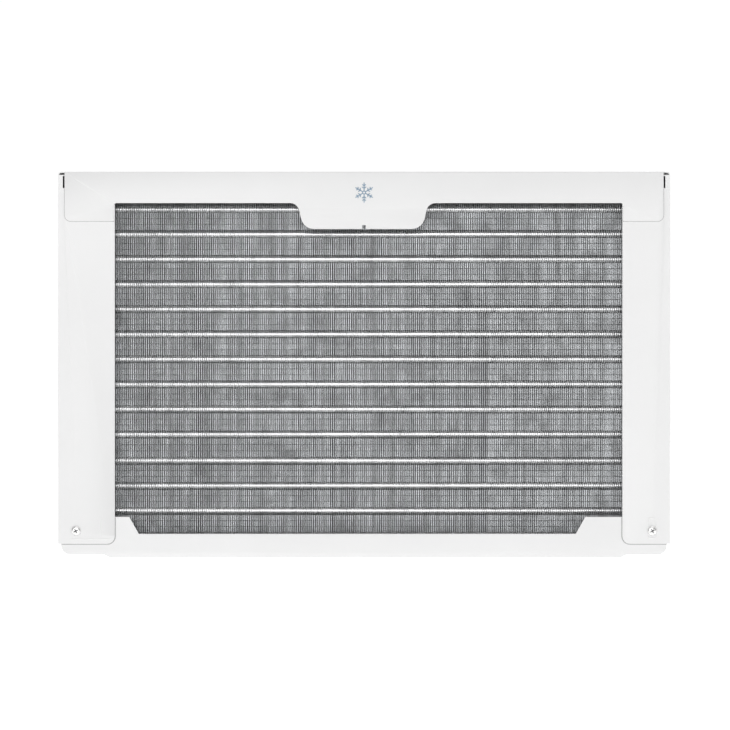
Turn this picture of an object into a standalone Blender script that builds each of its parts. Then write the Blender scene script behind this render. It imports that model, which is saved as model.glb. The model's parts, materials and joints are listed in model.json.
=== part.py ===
"""Window air conditioner, as an assembly of separate pieces.

Metres, +Z up. The room side, with the intake grille and the louvers, faces -Y. The outdoor side,
with the condenser coil, faces +Y. The origin is under the middle of the base pan.
"""

import math

import bmesh
import bpy
from mathutils import Matrix, Vector

# Overall sizes
WIDTH = 0.600
HEIGHT = 0.378
DEPTH = 0.565
PANEL_DEPTH = 0.0925

# Stock and clearances
SHEET = 0.0010
SKIN = 0.0025
GAP = 0.0003
ROUND_SIDES = 20
PIN_SIDES = 6

SCREW_HEAD = (0.0046, 0.0022)
SCREW_SHANK = (0.0018, 0.0075)
SCREW_PROUD = SCREW_HEAD[1] + GAP - SHEET

SIDE = WIDTH / 2
REAR = DEPTH / 2 - SCREW_PROUD
FRONT = -DEPTH / 2
PANEL_BACK = FRONT + PANEL_DEPTH

# Cabinet wrapper and its rear flanges
WRAP_CORNER = 0.003
WRAP_BOTTOM = 0.0132
LEFT_FLANGE = 0.0556
RIGHT_FLANGE = 0.0468
TOP_FLANGE = 0.0307
TAB_DROP = 0.0485
TAB_INSET = 0.0065
TAB_CORNER = 0.006
FLANGE_CORNER = 0.0075
OPENING_CORNER = 0.0035
TONGUE_CENTRE = 0.0012
TONGUE_ROOT = 0.0640
TONGUE_TIP = 0.0582
TONGUE_DROP = 0.0254
TONGUE_ROOT_ROUND = 0.009
TONGUE_TIP_ROUND = 0.013
TONGUE_NOTCH = (0.0034, 0.0037)
RELIEF_SLOT = 0.0018
RELIEF_DEPTH = 0.0160
FLANGE_BACK = REAR - 2 * SHEET
WRAP_FRONT = PANEL_BACK + GAP

# Wall between the room side and the outdoor side
BULKHEAD_Y = PANEL_BACK + 0.1450
BULKHEAD_BOTTOM = 0.0045
BULKHEAD_INSET = 0.010

# Vent slots pressed through the cabinet's sides and top
SLOT_HEIGHT = 0.006
SLOT_LENGTH = 0.075
SLOT_PITCH = 0.020
SIDE_SLOTS = 7
TOP_SLOTS = 4
SLOT_COLUMNS = (BULKHEAD_Y + 0.0575, BULKHEAD_Y + 0.1475)
SIDE_SLOT_Z = HEIGHT - 0.228
TOP_SLOT_X = SIDE - 0.130

# Base pan
PAN_INSET = 0.003
PAN_SIDE = SIDE - PAN_INSET
PAN_WALL = 0.030
PAN_CORNER = 0.009
PAN_REAR_END = 0.0397
PAN_REAR_MIDDLE = 0.0230
PAN_NOTCH = (-SIDE + 0.0924, SIDE - 0.0791)
PAN_CHAMFER = 0.0100
PAN_STEP = (-SIDE + 0.048, SIDE - 0.050)
PAN_RAIL = 0.0025
PAN_REAR = FLANGE_BACK - GAP
PAN_FRONT = WRAP_FRONT + GAP
PAN_FLOOR = SHEET + GAP

# Rear screws
SCREW_INSET = 0.0176
SCREW_Z = 0.0260

# Condenser coil
COIL_PITCH = 0.0247
COIL_STEP = 0.0260
COIL_LOWER = 4
COIL_TOP = HEIGHT - 0.0356
COIL_BOTTOM = 0.0200
COIL_ROOM = COIL_TOP - COIL_BOTTOM - COIL_STEP - (COIL_LOWER - 1) * COIL_PITCH
COIL_UPPER = int(COIL_ROOM / COIL_PITCH + 0.01) + 1
ROW_GAP = 0.0220
COIL_ROWS = (REAR - 0.0230 - ROW_GAP, REAR - 0.0230)
COIL_SPAN = (-SIDE + 0.038, SIDE - 0.048)
COIL_DEPTH = 2 * ROW_GAP
TUBE = 0.0040
TUBE_SIDES = 6
SHEET_GAUGE = 0.0015

# Outlet nozzle, louvers and deflectors
OUTLET_X = (-SIDE + 0.020, SIDE - 0.170)
OUTLET_Z = (HEIGHT - 0.0835, HEIGHT - 0.0180)
NOZZLE_BACK = PANEL_BACK - 0.0260
LOUVER_Y = FRONT + 0.0205
LOUVER_PITCH = 0.0220
LOUVER_Z = tuple(OUTLET_Z[0] + 0.0105 + k * LOUVER_PITCH for k in range(3))
LOUVER_CHORD = 0.0210
LOUVER_THICK = 0.0024
LOUVER_END = 0.0060
CRANK = 0.0085
PIN = 0.0016
DEFLECTORS = 6
DEFLECTOR_END = 0.0450
DEFLECTOR_PITCH = (OUTLET_X[1] - OUTLET_X[0] - 2 * DEFLECTOR_END) / (DEFLECTORS - 1)
DEFLECTOR_Y = FRONT + 0.0485
DEFLECTOR_LEAD = 0.0100
DEFLECTOR_CHORD = 0.0240
DEFLECTOR_THICK = 0.0018
LINK = 0.0016
LINK_WIDTH = 0.0060
LINK_END = 0.0040

# Intake grille and filter
INTAKE_SIDE = SIDE - 0.0175
INTAKE_Z = (0.0240, OUTLET_Z[0] - 0.0150)
GRILLE_EDGE = 0.0015
GRILLE_THICK = 0.0120
GRILLE_TOP = INTAKE_Z[1] - 0.0020
GRILLE_ROUND = 0.003
GRILLE_AXIS = (FRONT + 0.0050, GRILLE_TOP - 0.0040)
GRILLE_BORDER = 0.012
GRILLE_SLATS = 14
GRILLE_OPEN = 0.5833
GRILLE_MULLION = 0.003
GRILLE_RAKE = 0.005
FILTER_X = (-SIDE + 0.0040, SIDE - 0.1200)
FILTER_Y = (FRONT + 0.0195, FRONT + 0.0255)
FILTER_Z = (0.0080, OUTLET_Z[0] - 0.0085)
FILTER_BORDER = 0.010
FILTER_CLEARANCE = 0.0008
FILTER_LIP = 0.0014

# Evaporator coil
EVAP_TOP = INTAKE_Z[1] - 0.0135
EVAP_BOTTOM = 0.0437
EVAP_TUBES = int((EVAP_TOP - EVAP_BOTTOM) / COIL_PITCH + 0.01) + 1
EVAP_ROWS = (PANEL_BACK + 0.0150, PANEL_BACK + 0.0150 + ROW_GAP)
EVAP_SPAN = (-SIDE + 0.065, SIDE - 0.135)
EVAP_DEPTH = 2 * ROW_GAP
STUB = 0.010

# Fan line: motor, shaft, condenser fan, blower wheel
FAN_X = SIDE / 5 - 0.095
FAN_Z = HEIGHT / 2 - 0.009
SHAFT = 0.0055
FAN_RADIUS = HEIGHT / 2 - 0.043
FAN_BLADES = 5
FAN_Y = (COIL_ROWS[0] - 0.076, COIL_ROWS[0] - 0.036)
SLINGER = 0.004
SLINGER_WIDTH = 0.014
BLADE_ANGLE = math.radians(25)
BLADE_PHASE = math.radians(2.3)
BLADE_RISE = (0.0140, 0.0050)
BLADE_THICK = 0.0022
MOTOR_RADIUS = 0.056
MOTOR_Y = (FAN_Y[0] - 0.140, FAN_Y[0] - 0.055)
WHEEL_RADIUS = HEIGHT / 2 - 0.104
WHEEL_WALL = 0.012
WHEEL_DEPTH = 0.066
WHEEL_FRONT = BULKHEAD_Y - 0.081
SHROUD_Y = (COIL_ROWS[0] - 0.064, COIL_ROWS[0] - 0.023)
SHROUD_CLEARANCE = 0.008

# Blower scroll and outlet duct
SCROLL_Y = (BULKHEAD_Y - 0.0895, BULKHEAD_Y - 0.0050)
SCROLL_START = WHEEL_RADIUS + 0.008
SCROLL_END = WHEEL_RADIUS + 0.043
SCROLL_INLET = 0.066
DUCT_FRONT = NOZZLE_BACK + 0.0005

# Control fascia and buttons
FASCIA_X = (OUTLET_X[1] + 0.0210, SIDE - 0.0130)
FASCIA_MIDDLE = sum(FASCIA_X) / 2
BUTTON = (0.026, 0.008)
BUTTON_X = (FASCIA_MIDDLE - 0.044, FASCIA_MIDDLE, FASCIA_MIDDLE + 0.044)
BUTTON_Z = (OUTLET_Z[0] + 0.0095, OUTLET_Z[0] + 0.0265)
BUTTON_PROUD = 0.0012
DISPLAY = (0.066, 0.018)
DISPLAY_Z = OUTLET_Z[0] + 0.0495
FASCIA_THICK = 0.0030
FASCIA_SINK = 0.0015

# Fresh-air lever and door
LEVER_X = OUTLET_X[1] + 0.0105
LEVER_Z = OUTLET_Z[0] + 0.0325
LEVER_ROD = 0.0016
LEVER_KNOB = (0.0100, 0.0200, 0.0100)
LEVER_BACK = 0.0120
LEVER_CLEARANCE = 0.0008
DOOR_X = (LEVER_X + 0.0015, LEVER_X + 0.0395)
DOOR_Z = (LEVER_Z - 0.0220, LEVER_Z + 0.0270)
DOOR_LAP = 0.002

# Compressor side
COMPRESSOR_RADIUS = 0.057
COMPRESSOR = (SIDE - COMPRESSOR_RADIUS - 0.068, BULKHEAD_Y + 0.125)
COMPRESSOR_Z = (0.022, HEIGHT - 0.116)
FOOT_RADIUS = COMPRESSOR_RADIUS + 0.013
FOOT_Z = (0.0290, 0.0315)
GROMMET = 0.011
ACCUMULATOR_RADIUS = 0.022
ACCUMULATOR = (COMPRESSOR[0] - COMPRESSOR_RADIUS - ACCUMULATOR_RADIUS - 0.004, COMPRESSOR[1])
ACCUMULATOR_Z = (0.090, HEIGHT - 0.150)
SUCTION = 0.0048
DISCHARGE = 0.0040
CAPILLARY = 0.0016
DRIER = (SIDE - 0.0155, COIL_ROWS[1])
DRIER_RADIUS = 0.0095
DRIER_Z = (HEIGHT - 0.133, HEIGHT - 0.058)
PIPE_NOTCH = (SIDE - 0.060, 0.100, 0.160)

# Pipe routes: lanes beside the cabinet's left wall, behind the bulkhead, and in its notch
SUCTION_LANE = SIDE - 0.0350
DISCHARGE_LANE = SIDE - 0.0190
CAPILLARY_LANE = DRIER[0] - 0.003
SUCTION_TURN = BULKHEAD_Y + 0.0330
CAPILLARY_TURN = BULKHEAD_Y + 0.0250
SUCTION_NOTCH_Z = sum(PIPE_NOTCH[1:]) / 2 + 0.008
CAPILLARY_NOTCH_Z = sum(PIPE_NOTCH[1:]) / 2 - 0.014
PIPE_TOP = HEIGHT - 0.038
SUCTION_LIFT = 0.072
SUCTION_RISER = 0.0163
SUCTION_AHEAD = BULKHEAD_Y - 0.065
SUCTION_DROP = 0.020
DISCHARGE_RISE = 0.025
DISCHARGE_SIDESTEP = (0.030, 0.010)
DISCHARGE_REACH = 0.050
CAPILLARY_RISER = 0.0092
CAPILLARY_AHEAD = BULKHEAD_Y - 0.075
CAPILLARY_FALL = 0.045
CAPILLARY_SLOPE = 0.005
CAPILLARY_CLIMB = 0.064
SUCTION_BEND = 0.020
DISCHARGE_BEND = 0.018
CAPILLARY_BEND = 0.016

# Control box and its contents
BOX_X = (SIDE - 0.100, SIDE - 0.015)
BOX_Y = (PANEL_BACK + 0.010, BULKHEAD_Y - 0.015)
BOX_Z = (HEIGHT - 0.163, HEIGHT - 0.018)
BOX_WALL = 0.0015
BOARD_INSET = 0.002
BOARD_THICK = 0.0016
CAPACITOR_RADIUS = 0.019
CAPACITOR_HEIGHT = 0.070
GLAND = (PANEL_BACK - 0.0150, 0.0480)
GLAND_RADIUS = 0.0080


def clear_scene():
    """Removes whatever the scene holds."""
    for obj in list(bpy.data.objects):
        bpy.data.objects.remove(obj, do_unlink=True)


def material(name, colour, roughness, metallic=0.0):
    """A Principled material with one colour."""
    made = bpy.data.materials.new(name)
    made.use_nodes = True
    shader = made.node_tree.nodes["Principled BSDF"]
    shader.inputs["Base Color"].default_value = (*colour, 1.0)
    shader.inputs["Roughness"].default_value = roughness
    shader.inputs["Metallic"].default_value = metallic
    return made


WHITE_PAINT = ((0.86, 0.86, 0.86), 0.45, 0.0)
WHITE_PLASTIC = ((0.82, 0.83, 0.82), 0.40, 0.0)
GALVANISED = ((0.55, 0.57, 0.58), 0.45, 0.9)
ALUMINIUM = ((0.72, 0.73, 0.74), 0.35, 1.0)
COPPER = ((0.72, 0.38, 0.22), 0.30, 1.0)
BLACK_PAINT = ((0.03, 0.03, 0.03), 0.40, 0.0)
DARK_PLASTIC = ((0.05, 0.05, 0.055), 0.50, 0.0)
GREY_PLASTIC = ((0.45, 0.46, 0.47), 0.50, 0.0)
RUBBER = ((0.02, 0.02, 0.02), 0.80, 0.0)
SMOKED = ((0.02, 0.02, 0.025), 0.08, 0.0)
BOARD_GREEN = ((0.03, 0.16, 0.07), 0.45, 0.0)
STEEL = ((0.60, 0.60, 0.62), 0.30, 1.0)


def part(name, shape, look, origin=(0.0, 0.0, 0.0), smooth=None):
    """One named object with its origin at the given point, from a shape drawn in world coordinates."""
    bmesh.ops.recalc_face_normals(shape, faces=shape.faces)
    bmesh.ops.translate(shape, vec=-Vector(origin), verts=shape.verts)
    mesh = bpy.data.meshes.new(name)
    shape.to_mesh(mesh)
    shape.free()
    obj = bpy.data.objects.new(name, mesh)
    obj.location = origin
    bpy.context.scene.collection.objects.link(obj)
    if look is not None:
        mesh.materials.append(material(name, *look))
    if smooth is not None:
        mesh.shade_smooth()
        mesh.set_sharp_from_angle(angle=math.radians(smooth))
    return obj


def tool(name, shape):
    """A guide that a Boolean reads. It isn't a piece."""
    obj = part(name, shape, None)
    obj.hide_render = True
    obj.display_type = "WIRE"
    return obj


def combine(target, guide, operation, solver):
    """Adds a Boolean to the target."""
    step = target.modifiers.new(guide.name, "BOOLEAN")
    step.operation = operation
    step.object = guide
    step.solver = solver


def cut(target, shape, name, solver="EXACT"):
    """Takes a shape away from the target."""
    combine(target, tool(f"{target.name}.{name}", shape), "DIFFERENCE", solver)


def weld(target, shape, name, solver="EXACT"):
    """Joins a shape to the target as one body."""
    combine(target, tool(f"{target.name}.{name}", shape), "UNION", solver)


def place(axis, u, v, w):
    """The point at (u, v) across an axis and w along it."""
    if axis == "X":
        return Vector((w, u, v))
    if axis == "Y":
        return Vector((u, w, v))
    return Vector((u, v, w))


def prism(outline, axis, start, end, shape=None):
    """A closed outline carried along an axis."""
    shape = shape or bmesh.new()
    low = [shape.verts.new(place(axis, u, v, start)) for u, v in outline]
    high = [shape.verts.new(place(axis, u, v, end)) for u, v in outline]
    shape.faces.new(low)
    shape.faces.new(high)
    count = len(outline)
    for i in range(count):
        j = (i + 1) % count
        shape.faces.new((low[i], low[j], high[j], high[i]))
    return shape


def box(x, y, z, shape=None):
    """A box between pairs of limits."""
    outline = [(x[0], y[0]), (x[1], y[0]), (x[1], y[1]), (x[0], y[1])]
    return prism(outline, "Z", z[0], z[1], shape)


def centred(middle, length):
    """Limits of a length about its middle."""
    return (middle - length / 2, middle + length / 2)


def rounded(corners, steps=4):
    """An outline from (u, v, radius) corners, with each corner turned into an arc of that radius."""
    outline = []
    count = len(corners)
    for i, (u, v, radius) in enumerate(corners):
        here = Vector((u, v))
        if radius == 0:
            outline.append((u, v))
            continue
        back = (Vector(corners[i - 1][:2]) - here).normalized()
        ahead = (Vector(corners[(i + 1) % count][:2]) - here).normalized()
        half = back.angle(ahead) / 2
        centre = here + (back + ahead).normalized() * radius / math.sin(half)
        first = here + back * radius / math.tan(half) - centre
        last = here + ahead * radius / math.tan(half) - centre
        turn = first.angle_signed(last)
        for k in range(steps + 1):
            angle = -turn * k / steps
            spoke = Matrix.Rotation(angle, 2) @ first
            outline.append(tuple(centre + spoke))
    return outline


def rounded_box(u, v, radius, steps=4):
    """A rectangle's outline with round corners."""
    corners = [(u[0], v[0], radius), (u[1], v[0], radius), (u[1], v[1], radius), (u[0], v[1], radius)]
    return rounded(corners, steps)


def circle(u, v, radius, sides, phase=0.0):
    """A regular polygon around a point."""
    angles = [2 * math.pi * (k + phase) / sides for k in range(sides)]
    return [(u + radius * math.cos(a), v + radius * math.sin(a)) for a in angles]


def turned(profile, centre, axis, sides=ROUND_SIDES, ring=False, shape=None):
    """A profile of (radius, distance) points turned about an axis. A ring's profile closes on itself."""
    shape = shape or bmesh.new()
    loops = []
    for radius, along in profile:
        if radius == 0:
            loops.append([shape.verts.new(place(axis, *centre, along))])
        else:
            points = circle(*centre, radius, sides)
            loops.append([shape.verts.new(place(axis, u, v, along)) for u, v in points])
    pairs = list(zip(loops, loops[1:], strict=False))
    if ring:
        pairs.append((loops[-1], loops[0]))
    for a, b in pairs:
        for k in range(sides):
            n = (k + 1) % sides
            corners = [a[k % len(a)], a[n % len(a)], b[n % len(b)], b[k % len(b)]]
            shape.faces.new(list(dict.fromkeys(corners)))
    return shape


def rod(centre, axis, radius, start, end, sides=12, shape=None):
    """A plain round bar."""
    return prism(circle(*centre, radius, sides, 0.5), axis, start, end, shape)


def swept(path, radius, sides, reference=None):
    """A round tube along a path of points, with flat ends."""
    shape = bmesh.new()
    points = [Vector(p) for p in path]
    tangents = []
    for i in range(len(points)):
        ahead = points[min(i + 1, len(points) - 1)] - points[i]
        behind = points[i] - points[max(i - 1, 0)]
        tangents.append((ahead.normalized() + behind.normalized()).normalized())
    side = tangents[0].orthogonal().normalized()
    rings = []
    for i, (point, tangent) in enumerate(zip(points, tangents, strict=True)):
        if reference is not None:
            side = tangent.cross(reference).normalized()
        elif i:
            side = tangents[i - 1].rotation_difference(tangent) @ side
        other = tangent.cross(side).normalized()
        bend = 1.0
        if 0 < i < len(points) - 1:
            bend = 1 / math.cos((points[i + 1] - point).angle(point - points[i - 1]) / 2)
        ring = []
        for k in range(sides):
            angle = 2 * math.pi * (k + 0.5) / sides
            spoke = side * math.cos(angle) + other * math.sin(angle)
            ring.append(shape.verts.new(point + spoke * radius * (bend if reference is None else 1.0)))
        rings.append(ring)
    for a, b in zip(rings, rings[1:], strict=False):
        for k in range(sides):
            n = (k + 1) % sides
            shape.faces.new((a[k], a[n], b[n], b[k]))
    shape.faces.new(rings[0])
    shape.faces.new(rings[-1])
    return shape


def smooth_route(points, bend, steps=3):
    """A route with each inner corner replaced by an arc-like curve that starts the bend length before it."""
    route = [Vector(points[0])]
    for before, corner, after in zip(points, points[1:], points[2:], strict=False):
        corner = Vector(corner)
        reach_in = min(bend, (Vector(before) - corner).length / 2.1)
        reach_out = min(bend, (Vector(after) - corner).length / 2.1)
        first = corner + (Vector(before) - corner).normalized() * reach_in
        last = corner + (Vector(after) - corner).normalized() * reach_out
        for k in range(steps + 1):
            t = k / steps
            route.append(first * (1 - t) ** 2 + corner * 2 * t * (1 - t) + last * t**2)
    route.append(Vector(points[-1]))
    return route


# Cabinet and base


def top_flange_outline():
    """The rear top flange: two corner tabs and the tongue between them, as (x, z)."""
    tab = SIDE - TAB_INSET
    left = SIDE - LEFT_FLANGE + 0.0015
    right = -SIDE + RIGHT_FLANGE - 0.0015
    edge = HEIGHT - TOP_FLANGE
    tip = edge - TONGUE_DROP
    notch, rise = TONGUE_NOTCH
    centre = TONGUE_CENTRE
    corners = [
        (tab, HEIGHT - SHEET / 2, 0),
        (tab, HEIGHT - TAB_DROP, TAB_CORNER),
        (left, HEIGHT - TAB_DROP, 0),
        (left, edge, OPENING_CORNER),
        (centre + TONGUE_ROOT, edge, TONGUE_ROOT_ROUND),
        (centre + TONGUE_TIP, tip, TONGUE_TIP_ROUND),
        (notch / 2, tip, 0),
        (notch / 2, tip + rise, 0),
        (-notch / 2, tip + rise, 0),
        (-notch / 2, tip, 0),
        (centre - TONGUE_TIP, tip, TONGUE_TIP_ROUND),
        (centre - TONGUE_ROOT, edge, TONGUE_ROOT_ROUND),
        (right, edge, OPENING_CORNER),
        (right, HEIGHT - TAB_DROP, 0),
        (-tab, HEIGHT - TAB_DROP, TAB_CORNER),
        (-tab, HEIGHT - SHEET / 2, 0),
    ]
    return rounded(corners, 5)


def vent_slots():
    """Cutters for the slots in both sides and the top."""
    cutters = bmesh.new()
    for column in SLOT_COLUMNS:
        y = centred(column, SLOT_LENGTH)
        for k in range(SIDE_SLOTS):
            z = centred(SIDE_SLOT_Z + k * SLOT_PITCH, SLOT_HEIGHT)
            for side in (-1, 1):
                box(sorted((side * (SIDE - 0.01), side * (SIDE + 0.01))), y, z, cutters)
        for k in range(TOP_SLOTS):
            for side in (-1, 1):
                x = centred(side * (TOP_SLOT_X + k * SLOT_PITCH), SLOT_HEIGHT)
                box(x, y, (HEIGHT - 0.01, HEIGHT + 0.01), cutters)
    return cutters


def cabinet_wrap():
    """Top, sides and rear flanges, folded from one sheet."""
    inner = SIDE - SHEET
    outline = rounded([(-SIDE, WRAP_BOTTOM, 0), (-SIDE, HEIGHT, WRAP_CORNER),
                       (SIDE, HEIGHT, WRAP_CORNER), (SIDE, WRAP_BOTTOM, 0),
                       (inner, WRAP_BOTTOM, 0), (inner, HEIGHT - SHEET, WRAP_CORNER - SHEET),
                       (-inner, HEIGHT - SHEET, WRAP_CORNER - SHEET), (-inner, WRAP_BOTTOM, 0)], 3)
    wrap = part("cabinet_wrap", prism(outline, "Y", WRAP_FRONT, REAR - SHEET), WHITE_PAINT, smooth=30)
    side_edge = SIDE - SHEET / 2
    side_top = HEIGHT - WRAP_CORNER
    left = [(side_edge, WRAP_BOTTOM, 0), (side_edge, side_top, 0), (SIDE - LEFT_FLANGE, side_top, 0),
            (SIDE - LEFT_FLANGE, WRAP_BOTTOM, FLANGE_CORNER)]
    right = [(-side_edge, WRAP_BOTTOM, 0), (-side_edge, side_top, 0), (-SIDE + RIGHT_FLANGE, side_top, 0),
             (-SIDE + RIGHT_FLANGE, WRAP_BOTTOM, FLANGE_CORNER)]
    flanges = prism(rounded(left), "Y", FLANGE_BACK, REAR - SHEET)
    prism(rounded(right), "Y", FLANGE_BACK, REAR - SHEET, flanges)
    weld(wrap, prism(top_flange_outline(), "Y", REAR - 1.5 * SHEET, REAR), "top_flange")
    weld(wrap, flanges, "side_flanges")
    cut(wrap, vent_slots(), "slots", "MANIFOLD")
    holes = bmesh.new()
    for side in (-1, 1):
        centre = (side * (SIDE - SCREW_INSET), SCREW_Z)
        rod(centre, "Y", SCREW_SHANK[0] + GAP, REAR - 0.01, REAR + 0.01, 8, holes)
        slit = sorted((side * (SIDE - TAB_INSET), side * (SIDE - TAB_INSET + RELIEF_SLOT)))
        box(slit, (REAR - 0.004, REAR + 0.01), (HEIGHT - RELIEF_DEPTH, HEIGHT - WRAP_CORNER - 0.001), holes)
    cut(wrap, holes, "holes")
    return wrap


def pan_outline(thickness, top):
    """The base pan's cross-section, drawn in from its outside by a thickness, as (x, z)."""
    side = PAN_SIDE - thickness
    corner = PAN_CORNER - thickness
    low, rail = thickness, thickness + PAN_RAIL
    right, left = PAN_STEP
    slope = 2 * PAN_RAIL
    return rounded([(-side, top, 0), (-side, rail, corner), (right - slope + thickness, rail, 0),
                    (right + thickness, low, 0), (left - thickness, low, 0),
                    (left + slope - thickness, rail, 0), (side, rail, corner), (side, top, 0)], 4)


def base_pan():
    """The tray that everything stands on, with its higher rear wall."""
    pan = part("base_pan", prism(pan_outline(0.0, PAN_REAR_END), "Y", PAN_FRONT, PAN_REAR), WHITE_PAINT,
               smooth=30)
    inside = (PAN_FRONT + SHEET, PAN_REAR - SHEET)
    cut(pan, prism(pan_outline(SHEET, HEIGHT), "Y", *inside), "inside")
    above = box((-SIDE, SIDE), (PAN_FRONT - 0.01, inside[1]), (PAN_WALL, HEIGHT))
    cut(pan, above, "wall_top")
    right, left = PAN_NOTCH
    notch = [(right, PAN_REAR_MIDDLE), (left, PAN_REAR_MIDDLE), (left + PAN_CHAMFER, PAN_REAR_END + 0.001),
             (right - PAN_CHAMFER, PAN_REAR_END + 0.001)]
    cut(pan, prism(notch, "Y", PAN_REAR - 0.01, PAN_REAR + 0.01), "rear_notch")
    holes = bmesh.new()
    for side in (-1, 1):
        centre = (side * (SIDE - SCREW_INSET), SCREW_Z)
        rod(centre, "Y", SCREW_SHANK[0] + GAP, PAN_REAR - 0.01, PAN_REAR + 0.01, 8, holes)
    cut(pan, holes, "screw_holes")


def rear_screws():
    """The two pan-head screws that hold the side flanges to the pan's rear wall."""
    head, height = SCREW_HEAD
    shank, length = SCREW_SHANK
    seat = REAR - SHEET + GAP
    profile = [(0, seat + height), (head * 0.55, seat + height * 0.9), (head * 0.9, seat + height * 0.55),
               (head, seat), (shank, seat), (shank, seat - length), (0, seat - length - shank)]
    for name, side in (("rear_screw_left", 1), ("rear_screw_right", -1)):
        centre = (side * (SIDE - SCREW_INSET), SCREW_Z)
        part(name, turned(profile, centre, "Y", 12), STEEL, (centre[0], seat, centre[1]), smooth=40)


def bulkhead():
    """The steel wall between the room side and the outdoor side."""
    side = SIDE - BULKHEAD_INSET
    floor = BULKHEAD_BOTTOM
    top = HEIGHT - 0.006
    notch_x, notch_low, notch_high = PIPE_NOTCH
    outline = [(-side, floor), (side, floor), (side, notch_low), (notch_x, notch_low),
               (notch_x, notch_high), (side, notch_high), (side, top), (-side, top)]
    wall = part("bulkhead", prism(outline, "Y", BULKHEAD_Y, BULKHEAD_Y + SHEET), GALVANISED)
    through = (BULKHEAD_Y - 0.01, BULKHEAD_Y + 0.01)
    holes = rod((FAN_X, FAN_Z), "Y", 2 * SHAFT, *through, 16)
    door_x = (DOOR_X[0] + DOOR_LAP, DOOR_X[1] - DOOR_LAP)
    door_z = (DOOR_Z[0] + DOOR_LAP, DOOR_Z[1] - DOOR_LAP)
    box(door_x, through, door_z, holes)
    cut(wall, holes, "holes")


# Coils


def row_heights(offset):
    """Tube heights of the condenser's rear row, from the top down, moved up by an offset."""
    upper = [COIL_TOP - k * COIL_PITCH for k in range(COIL_UPPER)]
    lower = [upper[-1] - COIL_STEP - k * COIL_PITCH for k in range(COIL_LOWER)]
    return [z + offset for z in upper + lower]


def serpentine(tubes, low, high, steps=3):
    """A path through parallel tubes at (y, z), joined by half-round bends past both ends."""
    path = []
    heading = -1
    for i, (y, z) in enumerate(tubes):
        start, end = (high, low) if heading < 0 else (low, high)
        path.append(Vector((start, y, z)))
        path.append(Vector((end, y, z)))
        if i + 1 < len(tubes):
            here = Vector((end, y, z))
            there = Vector((end, *tubes[i + 1]))
            middle = (here + there) / 2
            arm = (here - there) / 2
            out = Vector((heading * arm.length, 0, 0))
            for k in range(1, steps):
                angle = math.pi * k / steps
                path.append(middle + arm * math.cos(angle) + out * math.sin(angle))
        heading = -heading
    return path


def fin_block(name, span, depth, height, tubes):
    """The stack of fins as one block, with a clear hole for each tube."""
    block = part(name, box(span, depth, height), ALUMINIUM)
    holes = bmesh.new()
    for y, z in tubes:
        prism(circle(y, z, TUBE + 2 * GAP, TUBE_SIDES), "X", span[0] - 0.01, span[1] + 0.01, holes)
    cut(block, holes, "tube_holes")


def tube_sheet(name, x, depth, height, rows):
    """An end plate with one tall window for each row of tubes."""
    plate = part(name, box(x, depth, height), GALVANISED)
    windows = bmesh.new()
    for y, low, high in rows:
        reach = TUBE + 3 * GAP
        box((x[0] - 0.01, x[1] + 0.01), (y - reach, y + reach), (low - reach, high + reach), windows)
    cut(plate, windows, "windows")


def end_plates(prefix, span, depth, height, rows):
    """The two tube sheets of a coil."""
    tube_sheet(f"{prefix}_left", (span[1] + GAP, span[1] + GAP + SHEET_GAUGE), depth, height, rows)
    tube_sheet(f"{prefix}_right", (span[0] - GAP - SHEET_GAUGE, span[0] - GAP), depth, height, rows)


def condenser():
    """Fins, tube circuit and tube sheets of the outdoor coil."""
    front_row = row_heights(COIL_PITCH / 2)
    rear_row = row_heights(0.0)
    tubes = [(COIL_ROWS[0], z) for z in front_row]
    tubes += [(COIL_ROWS[1], z) for z in reversed(rear_row)]
    quarter = COIL_PITCH / 4
    height = (rear_row[-1] - quarter, front_row[0] + quarter)
    depth = centred(sum(COIL_ROWS) / 2, COIL_DEPTH)
    fin_block("condenser_fins", COIL_SPAN, depth, height, tubes)
    straight = (COIL_SPAN[0] - 2 * GAP - SHEET_GAUGE, COIL_SPAN[1] + 2 * GAP + SHEET_GAUGE)
    path = serpentine(tubes, *straight)
    path[0].x += STUB
    drop = Vector((DRIER[0], DRIER[1], DRIER_Z[1] + GAP))
    tail = [path[-1], Vector((drop.x, drop.y, rear_row[0])), drop]
    path = path[:-1] + smooth_route(tail, 0.016)
    part("condenser_tubes", swept(path, TUBE, TUBE_SIDES, Vector((0, 1, 0))), COPPER, smooth=50)
    rows = [(COIL_ROWS[0], front_row[-1], front_row[0]), (COIL_ROWS[1], rear_row[-1], rear_row[0])]
    end_plates("condenser_tube_sheet", COIL_SPAN, depth, height, rows)


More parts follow.
